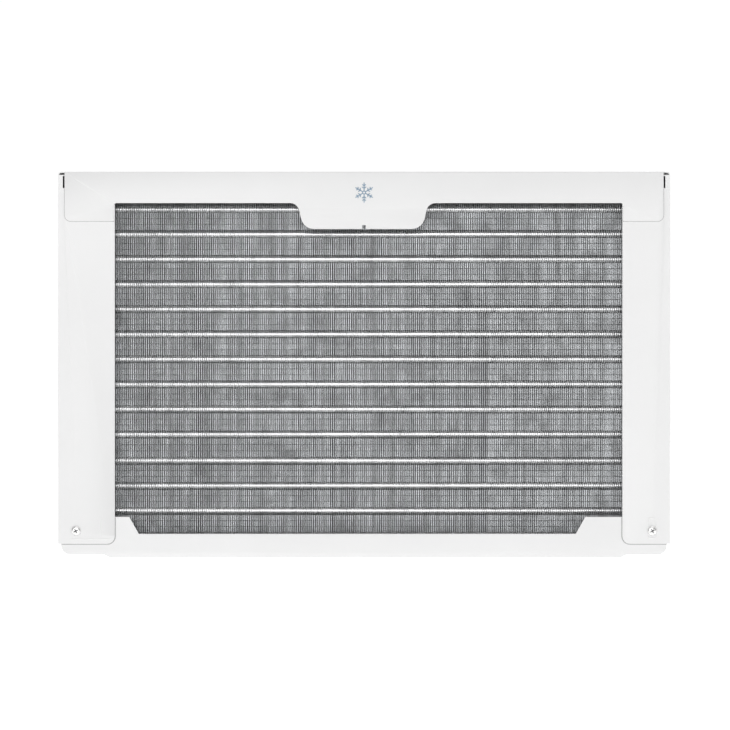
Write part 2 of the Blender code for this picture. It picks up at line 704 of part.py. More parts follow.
def evaporator():
    """Fins, tube circuit, tube sheets, tray and sensor of the room-side coil."""
    front_row = [EVAP_TOP - k * COIL_PITCH for k in range(EVAP_TUBES)]
    rear_row = [z - COIL_PITCH / 2 for z in front_row]
    tubes = [(EVAP_ROWS[0], z) for z in front_row]
    tubes += [(EVAP_ROWS[1], z) for z in reversed(rear_row)]
    quarter = COIL_PITCH / 4
    height = (rear_row[-1] - quarter, front_row[0] + quarter)
    depth = centred(sum(EVAP_ROWS) / 2, EVAP_DEPTH)
    fin_block("evaporator_fins", EVAP_SPAN, depth, height, tubes)
    straight = (EVAP_SPAN[0] - 2 * GAP - SHEET_GAUGE, EVAP_SPAN[1] + 2 * GAP + SHEET_GAUGE)
    path = serpentine(tubes, *straight)
    path[0].x += STUB
    path[-1].x += STUB
    part("evaporator_tubes", swept(path, TUBE, TUBE_SIDES, Vector((0, 1, 0))), COPPER, smooth=50)
    rows = [(EVAP_ROWS[0], front_row[-1], front_row[0]), (EVAP_ROWS[1], rear_row[-1], rear_row[0])]
    end_plates("evaporator_tube_sheet", EVAP_SPAN, depth, height, rows)
    evaporator_tray(depth, height[0])
    sensor_y = depth[0] - 0.006
    profile = [(0, 0.0), (0.0025, 0.0008), (0.0032, 0.003), (0.0032, 0.026), (0.0018, 0.028), (0, 0.028)]
    part("room_sensor", turned([(r, 0.10 + d) for r, d in profile], (sensor_y, FAN_Z), "X", 10),
         DARK_PLASTIC, (0.10, sensor_y, FAN_Z), smooth=40)
    return path[0], path[-1]


def evaporator_tray(depth, coil_bottom):
    """The drip tray that the evaporator stands over."""
    x = (EVAP_SPAN[0] - 0.027, EVAP_SPAN[1] + 0.027)
    y = (depth[0] + 0.001, depth[1] + 0.006)
    z = (PAN_RAIL + SHEET + GAP, coil_bottom - GAP)
    tray = part("evaporator_tray", box(x, y, z), DARK_PLASTIC)
    wall = SKIN
    cut(tray, box((x[0] + wall, x[1] - wall), (y[0] + wall, y[1] - wall), (z[0] + wall, z[1] + 0.01)), "well")


# Compressor side


def compressor():
    """The rotary compressor with its welded foot plate, and the three grommets under it."""
    low, high = COMPRESSOR_Z
    r = COMPRESSOR_RADIUS
    profile = [(0, low), (r * 0.55, low + 0.002), (r * 0.86, low + 0.007), (r * 0.97, low + 0.014),
               (r, low + 0.026), (r, high - 0.034), (r * 0.96, high - 0.020), (r * 0.80, high - 0.008),
               (r * 0.45, high - 0.001), (0, high)]
    body = part("compressor", turned(profile, COMPRESSOR, "Z"), BLACK_PAINT, (*COMPRESSOR, low), smooth=40)
    angles = [math.radians(a) for a in (30, 150, 270)]
    feet = [(COMPRESSOR[0] + FOOT_RADIUS * math.cos(a), COMPRESSOR[1] + FOOT_RADIUS * math.sin(a))
            for a in angles]
    reach = 2 * 1.35 * GROMMET / FOOT_RADIUS + 1
    corners = [(COMPRESSOR[0] + (x - COMPRESSOR[0]) * reach, COMPRESSOR[1] + (y - COMPRESSOR[1]) * reach,
                1.35 * GROMMET) for x, y in feet]
    weld(body, prism(rounded(corners, 5), "Z", *FOOT_Z), "foot_plate")
    holes = bmesh.new()
    neck = GROMMET * 0.55
    for x, y in feet:
        rod((x, y), "Z", neck + 2 * GAP, FOOT_Z[0] - 0.01, FOOT_Z[1] + 0.01, 10, holes)
    cut(body, holes, "foot_holes")
    spool = [(0, PAN_FLOOR), (GROMMET, PAN_FLOOR), (GROMMET, PAN_FLOOR + 0.007), (GROMMET * 0.8, 0.014),
             (GROMMET, 0.021), (GROMMET, FOOT_Z[0] - GAP), (neck, FOOT_Z[0] - GAP),
             (neck, FOOT_Z[1] + 0.006), (0, FOOT_Z[1] + 0.006)]
    for k, foot in enumerate(feet):
        part(f"compressor_grommet_{k + 1}", turned(spool, foot, "Z", 12), RUBBER, (*foot, PAN_FLOOR),
             smooth=40)
    return Vector((*COMPRESSOR, high))


def accumulator():
    """The suction accumulator beside the compressor."""
    low, high = ACCUMULATOR_Z
    r = ACCUMULATOR_RADIUS
    profile = [(0, low), (r * 0.35, low), (r * 0.4, low + 0.012), (r, low + 0.026), (r, high - 0.026),
               (r * 0.4, high - 0.010), (r * 0.35, high), (0, high)]
    part("accumulator", turned(profile, ACCUMULATOR, "Z", 20), BLACK_PAINT, (*ACCUMULATOR, low), smooth=40)
    return Vector((*ACCUMULATOR, high))


def refrigerant_pipes(crown, tank_top, evap_in, evap_out):
    """The pipes between compressor, coils and accumulator, and the filter drier."""
    start = tank_top + Vector((0, 0, GAP))
    lift = tank_top.z + SUCTION_LIFT
    riser = evap_out.x + SUCTION_RISER
    suction = [start, (start.x, start.y, lift), (start.x, SUCTION_TURN, lift),
               (SUCTION_LANE, SUCTION_TURN, lift - SUCTION_DROP),
               (SUCTION_LANE, SUCTION_TURN, SUCTION_NOTCH_Z), (SUCTION_LANE, SUCTION_AHEAD, SUCTION_NOTCH_Z),
               (riser, evap_out.y, SUCTION_NOTCH_Z), (riser, evap_out.y, evap_out.z),
               (evap_out.x + GAP, evap_out.y, evap_out.z)]
    part("suction_pipe", swept(smooth_route(suction, SUCTION_BEND), SUCTION, 8), COPPER, smooth=50)
    stub = COIL_SPAN[1] + 2 * GAP + SHEET_GAUGE + STUB + GAP
    inlet = Vector((stub, COIL_ROWS[0], COIL_TOP + COIL_PITCH / 2))
    crown = crown + Vector((0, 0, GAP))
    across, along = DISCHARGE_SIDESTEP
    discharge = [crown, (crown.x, crown.y, PIPE_TOP - DISCHARGE_RISE),
                 (crown.x + across, crown.y + along, PIPE_TOP),
                 (DISCHARGE_LANE, crown.y + DISCHARGE_REACH, PIPE_TOP),
                 (DISCHARGE_LANE, inlet.y, inlet.z), inlet]
    part("discharge_pipe", swept(smooth_route(discharge, DISCHARGE_BEND), DISCHARGE, 8), COPPER, smooth=50)
    low, high = DRIER_Z
    r = DRIER_RADIUS
    profile = [(0, low), (r * 0.4, low), (r * 0.5, low + 0.008), (r, low + 0.014), (r, high - 0.014),
               (r * 0.5, high - 0.008), (r * 0.45, high), (0, high)]
    part("filter_drier", turned(profile, DRIER, "Z", 14), COPPER, (*DRIER, low), smooth=40)
    riser = evap_in.x + CAPILLARY_RISER
    fall = low - CAPILLARY_FALL
    climb = CAPILLARY_NOTCH_Z + CAPILLARY_CLIMB
    capillary = [(*DRIER, low - GAP), (*DRIER, fall), (DRIER[0], CAPILLARY_TURN, fall - CAPILLARY_SLOPE),
                 (CAPILLARY_LANE, CAPILLARY_TURN, CAPILLARY_NOTCH_Z),
                 (CAPILLARY_LANE, CAPILLARY_AHEAD, CAPILLARY_NOTCH_Z),
                 (riser, CAPILLARY_AHEAD, CAPILLARY_NOTCH_Z), (riser, evap_in.y, climb),
                 (riser, evap_in.y, evap_in.z), (evap_in.x + GAP, evap_in.y, evap_in.z)]
    part("capillary_tube", swept(smooth_route(capillary, CAPILLARY_BEND), CAPILLARY, 6), COPPER, smooth=50)


# Air movers


def fan_motor():
    """The motor, its bracket and its double-ended shaft."""
    front, back = MOTOR_Y
    r = MOTOR_RADIUS
    bore = SHAFT + GAP
    profile = [(bore, front), (r * 0.25, front), (r * 0.25, front + 0.006), (r * 0.8, front + 0.008),
               (r, front + 0.018), (r, back - 0.018), (r * 0.8, back - 0.008), (r * 0.25, back - 0.006),
               (r * 0.25, back), (bore, back)]
    centre = (FAN_X, FAN_Z)
    part("fan_motor", turned(profile, centre, "Y", ring=True), GALVANISED, (FAN_X, front, FAN_Z), smooth=40)
    plate_y = (front - GAP - 2 * SHEET, front - GAP)
    feet = (plate_y[0], plate_y[0] + 0.040)
    half = MOTOR_RADIUS * 1.1
    outline = rounded([(FAN_X - half, PAN_FLOOR, 0), (FAN_X + half, PAN_FLOOR, 0),
                       (FAN_X + half * 0.7, FAN_Z + half * 0.7, 0.02),
                       (FAN_X - half * 0.7, FAN_Z + half * 0.7, 0.02)], 3)
    bracket = part("motor_bracket", prism(outline, "Y", *plate_y), GALVANISED)
    weld(bracket, box(centred(FAN_X, 2 * half), feet, (PAN_FLOOR, PAN_FLOOR + 2 * SHEET)), "foot")
    cut(bracket, rod(centre, "Y", 2 * SHAFT, plate_y[0] - 0.01, plate_y[1] + 0.01, 12), "bore")
    ends = (WHEEL_FRONT + 0.004, FAN_Y[1] + 0.006)
    shaft = [(0, ends[0]), (SHAFT, ends[0]), (SHAFT, ends[1]), (0, ends[1])]
    part("motor_shaft", turned(shaft, centre, "Y", 12), STEEL, (FAN_X, 0.0, FAN_Z), smooth=40)


def fan_blade(angle, inner, outer, middle, shape):
    """One twisted blade. Its sections are closed loops, pitched more at the root than at the tip."""
    sections = 4
    loops = []
    for i in range(sections):
        share = i / (sections - 1)
        radius = inner + (outer - inner) * share
        reach = BLADE_ANGLE * (1 - 0.12 * share)
        rise = BLADE_RISE[0] + (BLADE_RISE[1] - BLADE_RISE[0]) * share
        outline = [(edge, -0.5) for edge in (-1, 0, 1)] + [(edge, 0.5) for edge in (1, 0, -1)]
        loop = []
        for edge, face in outline:
            turn = angle + edge * reach
            y = middle + edge * rise + face * BLADE_THICK
            x = FAN_X + radius * math.cos(turn)
            z = FAN_Z + radius * math.sin(turn)
            loop.append(shape.verts.new((x, y, z)))
        loops.append(loop)
    for a, b in zip(loops, loops[1:], strict=False):
        for k in range(len(a)):
            n = (k + 1) % len(a)
            shape.faces.new((a[k], a[n], b[n], b[k]))
    shape.faces.new(loops[0])
    shape.faces.new(loops[-1])


def condenser_fan():
    """The outdoor fan: hub, blades and the slinger ring that lifts water onto the coil."""
    centre = (FAN_X, FAN_Z)
    low, high = FAN_Y
    middle = (low + high) / 2
    bore = SHAFT + GAP
    hub = [(bore, low), (0.016, low), (0.028, middle - 0.006), (0.028, high - 0.004), (0.024, high),
           (bore, high)]
    fan = part("condenser_fan", turned(hub, centre, "Y", ring=True), DARK_PLASTIC, (FAN_X, middle, FAN_Z),
               smooth=40)
    blades = bmesh.new()
    for k in range(FAN_BLADES):
        fan_blade(BLADE_PHASE + 2 * math.pi * k / FAN_BLADES, 0.024, FAN_RADIUS - SLINGER / 2, middle, blades)
    weld(fan, blades, "blades", "MANIFOLD")
    inner, outer = FAN_RADIUS - SLINGER, FAN_RADIUS
    front, back = centred(middle, SLINGER_WIDTH)
    ring = [(outer, front), (outer, back), (inner, back), (inner, front)]
    weld(fan, turned(ring, centre, "Y", 30, ring=True), "slinger", "MANIFOLD")


def blower_wheel():
    """The room-side wheel: a drum open to the front, with its back plate and hub."""
    front = WHEEL_FRONT
    back = front + WHEEL_DEPTH
    r = WHEEL_RADIUS
    bore = SHAFT + GAP
    inner = r - WHEEL_WALL
    profile = [(bore, back), (r, back), (r, front), (inner, front), (inner, back - 0.003),
               (0.018, back - 0.003), (0.014, back - 0.022), (bore, back - 0.022)]
    part("blower_wheel", turned(profile, (FAN_X, FAN_Z), "Y", ring=True), DARK_PLASTIC,
         (FAN_X, back, FAN_Z), smooth=40)


def fan_shroud():
    """The plastic shroud that joins the fan to the condenser, with its round orifice."""
    front, back = SHROUD_Y
    x = (COIL_SPAN[0] - 0.004, COIL_SPAN[1] + 0.002)
    z = (row_heights(0.0)[-1] - COIL_PITCH / 4 - 0.004, HEIGHT - 0.012)
    shroud = part("fan_shroud", box(x, (front, back), z), DARK_PLASTIC)
    inner_x = (x[0] + SKIN, x[1] - SKIN)
    inner_z = (z[0] + SKIN, z[1] - SKIN)
    cut(shroud, box(inner_x, (front + SKIN, back + 0.01), inner_z), "inside")
    orifice = rod((FAN_X, FAN_Z), "Y", FAN_RADIUS + SHROUD_CLEARANCE, front - 0.01, front + SKIN + 0.01, 40)
    cut(shroud, orifice, "orifice")


def scroll_outline(extra, top):
    """The volute seen from the front, as (x, z): a spiral that grows clockwise and opens upward."""
    points = []
    steps = 16
    first, last = math.radians(60), math.radians(-180)
    for k in range(steps + 1):
        share = k / steps
        angle = first + (last - first) * share
        radius = SCROLL_START + (SCROLL_END - SCROLL_START) * share + extra
        points.append((FAN_X + radius * math.cos(angle), FAN_Z + radius * math.sin(angle)))
    points.append((points[-1][0], top))
    points.append((points[0][0] + extra, top))
    return points


def blower_scroll():
    """The blower housing with the outlet duct on top, open towards the outlet."""
    front, back = SCROLL_Y
    duct_x = (OUTLET_X[0] - SKIN, OUTLET_X[1] + SKIN)
    duct_z = (OUTLET_Z[0] - SKIN, OUTLET_Z[1] + SKIN)
    scroll = part("blower_scroll", box(duct_x, (DUCT_FRONT, back), duct_z), WHITE_PLASTIC, smooth=30)
    weld(scroll, prism(scroll_outline(SKIN, duct_z[0] + SKIN / 2), "Y", front, back), "volute")
    inside = scroll_outline(0.0, OUTLET_Z[0] + 0.010)
    cut(scroll, prism(inside, "Y", front + SKIN, back - SKIN), "volute_inside")
    cut(scroll, box(OUTLET_X, (DUCT_FRONT - 0.01, back - SKIN), OUTLET_Z), "duct_inside")
    mouths = rod((FAN_X, FAN_Z), "Y", SCROLL_INLET, front - 0.01, front + SKIN + 0.004, 28)
    rod((FAN_X, FAN_Z), "Y", 2 * SHAFT, back - SKIN - 0.004, back + 0.01, 16, mouths)
    cut(scroll, mouths, "mouths")


# Room side


def front_panel():
    """The moulded front: shell, outlet nozzle, filter rails and grille ears."""
    outline = rounded_box((-SIDE, SIDE), (0.0, HEIGHT), 0.008, 3)
    shell = prism(outline, "Y", FRONT, PANEL_BACK)
    rim = [e for e in shell.edges if all(abs(v.co.y - FRONT) < 1e-6 for v in e.verts)]
    bmesh.ops.bevel(shell, geom=rim, offset=0.0045, segments=3, profile=0.5, affect="EDGES")
    panel = part("front_panel", shell, WHITE_PLASTIC, smooth=35)
    inside = (FRONT + SKIN, PANEL_BACK + 0.01)
    cut(panel, box((-SIDE + SKIN, SIDE - SKIN), inside, (SKIN, HEIGHT - SKIN)), "inside")
    added = box((OUTLET_X[0] - SKIN, OUTLET_X[1] + SKIN), (FRONT + SKIN / 2, NOZZLE_BACK),
                (OUTLET_Z[0] - SKIN, OUTLET_Z[1] + SKIN))
    weld(panel, added, "nozzle")
    rail_x = (-SIDE + SKIN / 2, FILTER_X[1] + 0.006)
    lips = bmesh.new()
    for low in (FILTER_Y[0] - FILTER_CLEARANCE - FILTER_LIP, FILTER_Y[1] + FILTER_CLEARANCE):
        y = (low, low + FILTER_LIP)
        box(rail_x, y, (SKIN / 2, FILTER_Z[0] + FILTER_BORDER / 2), lips)
        box(rail_x, y, (FILTER_Z[1] - FILTER_BORDER / 2, OUTLET_Z[0] - SKIN / 2), lips)
    weld(panel, lips, "filter_rails")
    ears = bmesh.new()
    axis_y, axis_z = GRILLE_AXIS
    for side in (-1, 1):
        ear = sorted((side * (INTAKE_SIDE + 0.0005), side * (INTAKE_SIDE + 0.0045)))
        box(ear, (FRONT + SKIN / 2, axis_y + 0.0045), (axis_z - 0.005, axis_z + 0.005), ears)
    weld(panel, ears, "grille_ears")
    cut(panel, box(OUTLET_X, (FRONT - 0.01, NOZZLE_BACK + 0.01), OUTLET_Z), "outlet")
    cut(panel, box((-INTAKE_SIDE, INTAKE_SIDE), (FRONT - 0.01, FRONT + SKIN + 0.0015), INTAKE_Z), "intake")
    cut(panel, box(FASCIA_X, (FRONT - 0.01, FRONT + SKIN + 0.001), OUTLET_Z), "fascia_opening")
    cut(panel, panel_bores(), "bores")
    side_slot = box((-SIDE - 0.01, -SIDE + SKIN + 0.001),
                    (FILTER_Y[0] - FILTER_CLEARANCE, FILTER_Y[1] + FILTER_CLEARANCE),
                    (FILTER_Z[0] - FILTER_CLEARANCE, FILTER_Z[1] + FILTER_CLEARANCE))
    cut(panel, side_slot, "filter_slot")


def panel_bores():
    """Bores for louver, deflector and grille pins, the well for the lever's knob, and the gland's hole."""
    bores = bmesh.new()
    bore = PIN + GAP
    for z in LOUVER_Z:
        for wall in (OUTLET_X[0] - SKIN / 2, OUTLET_X[1] + SKIN / 2):
            rod((LOUVER_Y, z), "X", bore, wall - SKIN, wall + SKIN, PIN_SIDES, bores)
    for x in deflector_places():
        for wall in (OUTLET_Z[0] - SKIN / 2, OUTLET_Z[1] + SKIN / 2):
            rod((x, DEFLECTOR_Y), "Z", bore, wall - SKIN, wall + SKIN, PIN_SIDES, bores)
    for side in (-1, 1):
        reach = sorted((side * (INTAKE_SIDE - 0.003), side * (INTAKE_SIDE + 0.003)))
        rod(GRILLE_AXIS, "X", bore, *reach, PIN_SIDES, bores)
    knob = [size + 2 * LEVER_CLEARANCE for size in LEVER_KNOB[:2]]
    well = rounded_box(centred(LEVER_X, knob[0]), centred(LEVER_Z, knob[1]), 0.0025, 2)
    prism(well, "Y", FRONT - 0.01, FRONT + SKIN + 0.01, bores)
    rod(GLAND, "X", GLAND_RADIUS * 0.8 + GAP, SIDE - SKIN - 0.01, SIDE + 0.01, 12, bores)
    return bores


def deflector_places():
    """Pivot positions of the deflectors across the outlet."""
    return [OUTLET_X[0] + DEFLECTOR_END + k * DEFLECTOR_PITCH for k in range(DEFLECTORS)]


def louvers():
    """The three horizontal louvers and the link that turns them together."""
    low = OUTLET_X[0] + LOUVER_END
    high = OUTLET_X[1] - LOUVER_END
    crank_y = LOUVER_Y + CRANK
    for name, z in zip(("louver_bottom", "louver_middle", "louver_top"), LOUVER_Z, strict=True):
        half = LOUVER_THICK / 2
        lead, trail = LOUVER_Y - LOUVER_CHORD / 2, LOUVER_Y + LOUVER_CHORD / 2
        outline = [(lead, z - half * 0.4), (lead + 0.004, z - half), (trail - 0.006, z - half),
                   (trail, z - half * 0.4), (trail, z + half * 0.4), (trail - 0.006, z + half),
                   (lead + 0.004, z + half), (lead, z + half * 0.4)]
        vane = part(name, prism(outline, "X", low, high), WHITE_PLASTIC, (0.0, LOUVER_Y, z), smooth=30)
        pins = rod((LOUVER_Y, z), "X", PIN * 0.7, OUTLET_X[0] - SKIN * 0.6, low + 0.002, PIN_SIDES)
        rod((LOUVER_Y, z), "X", PIN * 0.7, high - 0.002, OUTLET_X[1] + SKIN * 0.6, PIN_SIDES, pins)
        rod((crank_y, z), "X", PIN * 0.6, high - 0.002, high + LINK + 2.2 * GAP, PIN_SIDES, pins)
        weld(vane, pins, "pins")
    bar = (high + GAP, high + GAP + LINK)
    ends = (LOUVER_Z[0] - LINK_END, LOUVER_Z[-1] + LINK_END)
    shape = box(bar, centred(crank_y, LINK_WIDTH), ends)
    link = part("louver_link", shape, WHITE_PLASTIC, (bar[0], crank_y, LOUVER_Z[1]))
    holes = bmesh.new()
    for z in LOUVER_Z:
        rod((crank_y, z), "X", PIN * 0.6 + GAP, bar[0] - 0.01, bar[1] + 0.01, PIN_SIDES, holes)
    cut(link, holes, "crank_holes")


def deflectors():
    """The upright deflectors behind the louvers, and their link."""
    low = OUTLET_Z[0] + 0.0045
    high = OUTLET_Z[1] - 0.0010
    crank_y = DEFLECTOR_Y + CRANK
    lead = DEFLECTOR_Y - DEFLECTOR_LEAD
    trail = lead + DEFLECTOR_CHORD
    for k, x in enumerate(deflector_places()):
        half = DEFLECTOR_THICK / 2
        outline = [(x - half * 0.4, lead), (x + half * 0.4, lead), (x + half, lead + 0.003),
                   (x + half, trail - 0.003), (x + half * 0.4, trail), (x - half * 0.4, trail),
                   (x - half, trail - 0.003), (x - half, lead + 0.003)]
        name = f"deflector_{k + 1}"
        blade = part(name, prism(outline, "Z", low, high), WHITE_PLASTIC, (x, DEFLECTOR_Y, low), smooth=30)
        pins = rod((x, DEFLECTOR_Y), "Z", PIN * 0.7, OUTLET_Z[0] - SKIN * 0.6, low + 0.002, PIN_SIDES)
        rod((x, DEFLECTOR_Y), "Z", PIN * 0.7, high - 0.002, OUTLET_Z[1] + SKIN * 0.6, PIN_SIDES, pins)
        rod((x, crank_y), "Z", PIN * 0.6, low - LINK - 2.2 * GAP, low + 0.002, PIN_SIDES, pins)
        weld(blade, pins, "pins")
    places = deflector_places()
    bar = (low - GAP - LINK, low - GAP)
    span = (places[0] - LINK_END, places[-1] + LINK_END)
    link = part("deflector_link", box(span, centred(crank_y, LINK_WIDTH), bar), WHITE_PLASTIC,
                (places[0], crank_y, bar[0]))
    holes = bmesh.new()
    for x in places:
        rod((x, crank_y), "Z", PIN * 0.6 + GAP, bar[0] - 0.01, bar[1] + 0.01, PIN_SIDES, holes)
    cut(link, holes, "crank_holes")


def intake_grille():
    """The slatted door over the filter, hinged along its top edge."""
    edge = INTAKE_SIDE - GRILLE_EDGE
    bottom = INTAKE_Z[0] + GRILLE_EDGE
    back = FRONT + GRILLE_THICK
    axis_y, axis_z = GRILLE_AXIS
    outline = rounded([(FRONT, bottom, 0.002), (back, bottom, 0), (back, GRILLE_TOP, 0.002),
                       (FRONT, GRILLE_TOP, GRILLE_ROUND)], 3)
    grille = part("intake_grille", prism(outline, "X", -edge, edge), WHITE_PLASTIC,
                  (0.0, axis_y, axis_z), smooth=30)
    pins = rod(GRILLE_AXIS, "X", PIN, -INTAKE_SIDE - 0.0025, -edge + 0.002, PIN_SIDES)
    rod(GRILLE_AXIS, "X", PIN, edge - 0.002, INTAKE_SIDE + 0.0025, PIN_SIDES, pins)
    weld(grille, pins, "pins")
    field = (bottom + GRILLE_BORDER, GRILLE_TOP - GRILLE_BORDER)
    pitch = (field[1] - field[0]) / GRILLE_SLATS
    slots = bmesh.new()
    for k in range(GRILLE_SLATS):
        low, high = centred(field[0] + (k + 0.5) * pitch, GRILLE_OPEN * pitch)
        rake = GRILLE_RAKE
        section = [(FRONT - 0.001, low - rake / 2), (back + 0.001, low + rake / 2),
                   (back + 0.001, high + rake / 2), (FRONT - 0.001, high - rake / 2)]
        for x in ((-edge + GRILLE_BORDER, -GRILLE_MULLION), (GRILLE_MULLION, edge - GRILLE_BORDER)):
            prism(section, "X", *x, slots)
    cut(grille, slots, "slots")


def air_filter():
    """The filter frame that slides out through the panel's side, with its pull at the outer end."""
    x, y, z = FILTER_X, FILTER_Y, FILTER_Z
    frame = part("air_filter", box(x, y, z), GREY_PLASTIC, (x[0], sum(y) / 2, z[0]))
    pull_z = (z[0] + 0.002, z[1] - 0.002)
    weld(frame, box((-SIDE + GAP, x[0] + 0.002), (y[0] + GAP, y[1] - GAP), pull_z), "pull")
    windows = bmesh.new()
    columns, rows = 4, 2
    b = FILTER_BORDER
    width = (x[1] - x[0] - b) / columns
    height = (z[1] - z[0] - b) / rows
    for i in range(columns):
        for j in range(rows):
            left = x[0] + b + i * width
            low = z[0] + b + j * height
            box((left, left + width - b), (y[0] - 0.01, y[1] + 0.01), (low, low + height - b), windows)
    cut(frame, windows, "windows")


def control_panel():
    """Fascia, display lens and the six push buttons."""
    x = (FASCIA_X[0] + GAP, FASCIA_X[1] - GAP)
    z = (OUTLET_Z[0] + GAP, OUTLET_Z[1] - GAP)
    y = (FRONT + FASCIA_SINK, FRONT + FASCIA_SINK + FASCIA_THICK)
    fascia = part("control_fascia", box(x, y, z), GREY_PLASTIC)
    through = (y[0] - 0.01, y[1] + 0.01)
    holes = box(centred(FASCIA_MIDDLE, DISPLAY[0]), through, centred(DISPLAY_Z, DISPLAY[1]))
    for bx in BUTTON_X:
        for bz in BUTTON_Z:
            outline = rounded_box(centred(bx, BUTTON[0]), centred(bz, BUTTON[1]), 0.002, 2)
            prism(outline, "Y", *through, holes)
    cut(fascia, holes, "windows")
    lens = (DISPLAY[0] - 2 * GAP, DISPLAY[1] - 2 * GAP)
    pane = box(centred(FASCIA_MIDDLE, lens[0]), (y[0] + 0.0002, y[1]), centred(DISPLAY_Z, lens[1]))
    part("display_lens", pane, SMOKED)
    names = (("button_timer", "button_power"), ("button_mode", "button_temp_down"),
             ("button_fan_speed", "button_temp_up"))
    for bx, pair in zip(BUTTON_X, names, strict=True):
        for bz, name in zip(BUTTON_Z, pair, strict=True):
            button(name, bx, bz, y)


def button(name, x, z, fascia):
    """One key: the cap that shows, and the wider foot that keeps it in."""
    cap = (BUTTON[0] - 2.4 * GAP, BUTTON[1] - 2.4 * GAP)
    outline = rounded_box(centred(x, cap[0]), centred(z, cap[1]), 0.0018, 2)
    foot_y = (fascia[1] + GAP, fascia[1] + GAP + 0.0012)
    key = part(name, prism(outline, "Y", fascia[0] - BUTTON_PROUD, foot_y[1] - 0.0002), WHITE_PLASTIC,
               (x, fascia[0], z), smooth=30)
    weld(key, box(centred(x, BUTTON[0] + 0.003), foot_y, centred(z, BUTTON[1] + 0.003)), "foot")


def fresh_air():
    """The pull lever beside the outlet and the small door that it opens in the bulkhead."""
    width, height, depth = LEVER_KNOB
    front = FRONT + GAP
    pull = rod((LEVER_X, LEVER_Z), "Y", LEVER_ROD, front + depth / 2, BULKHEAD_Y - LEVER_BACK, 8)
    lever = part("vent_lever", pull, WHITE_PLASTIC, (LEVER_X, front, LEVER_Z), smooth=30)
    grip = rounded_box(centred(LEVER_X, width), centred(LEVER_Z, height), 0.002, 2)
    weld(lever, prism(grip, "Y", front, front + depth), "knob")
    door_y = (BULKHEAD_Y - GAP - 0.0015, BULKHEAD_Y - GAP)
    hinge = (0.0, sum(door_y) / 2, DOOR_Z[1])
    part("vent_door", box(DOOR_X, door_y, DOOR_Z), WHITE_PLASTIC, hinge)


def control_gear():
    """The control box with its board and run capacitor, and the gland where the mains lead enters."""
    box_part = part("control_box", box(BOX_X, BOX_Y, BOX_Z), GALVANISED)
    w = BOX_WALL
    inside_x = (BOX_X[0] + w, BOX_X[1] - w)
    inside_y = (BOX_Y[0] + w, BOX_Y[1] - w)
    floor = BOX_Z[0] + w
    cut(box_part, box(inside_x, inside_y, (floor, BOX_Z[1] + 0.01)), "inside")
    board_x = (inside_x[0] + BOARD_INSET, inside_x[1] - BOARD_INSET)
    board_y = (inside_y[0] + BOARD_INSET, inside_y[1] - 2 * CAPACITOR_RADIUS - 3 * BOARD_INSET)
    board_z = (floor + GAP, floor + GAP + BOARD_THICK)
    part("control_board", box(board_x, board_y, board_z), BOARD_GREEN)
    r = CAPACITOR_RADIUS
    top = floor + CAPACITOR_HEIGHT
    can = [(0, floor + GAP), (r, floor + GAP), (r, top), (r * 0.9, top + 0.002), (0, top + 0.002)]
    centre = (sum(BOX_X) / 2, inside_y[1] - r - 0.002)
    part("capacitor", turned(can, centre, "Z", 20), ALUMINIUM, (*centre, floor), smooth=40)
    r = GLAND_RADIUS
    outside = SIDE - SKIN
    gland = [(r * 0.45, outside - 0.010), (r, outside - 0.010), (r, outside - GAP), (r * 0.8, outside - GAP),
             (r * 0.8, SIDE - GAP), (r * 0.45, SIDE - GAP)]
    part("cord_gland", turned(gland, GLAND, "X", 12, ring=True), RUBBER, (outside, *GLAND), smooth=40)


def main():
    """Builds every piece."""
    clear_scene()
    cabinet_wrap()
    base_pan()
    rear_screws()
    bulkhead()
    condenser()
    evap_in, evap_out = evaporator()
    crown = compressor()
    tank_top = accumulator()
    refrigerant_pipes(crown, tank_top, evap_in, evap_out)
    fan_motor()
    condenser_fan()
    blower_wheel()
    fan_shroud()
    blower_scroll()
    front_panel()
    louvers()
    deflectors()
    intake_grille()
    air_filter()
    control_panel()
    fresh_air()
    control_gear()


main()
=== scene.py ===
"""Finished pieces for a window air conditioner, laid round its packed frame.

Metres, +Z up. The room side faces -Y, and the outdoor side, with the condenser coil, faces +Y.
"""

import json
import math

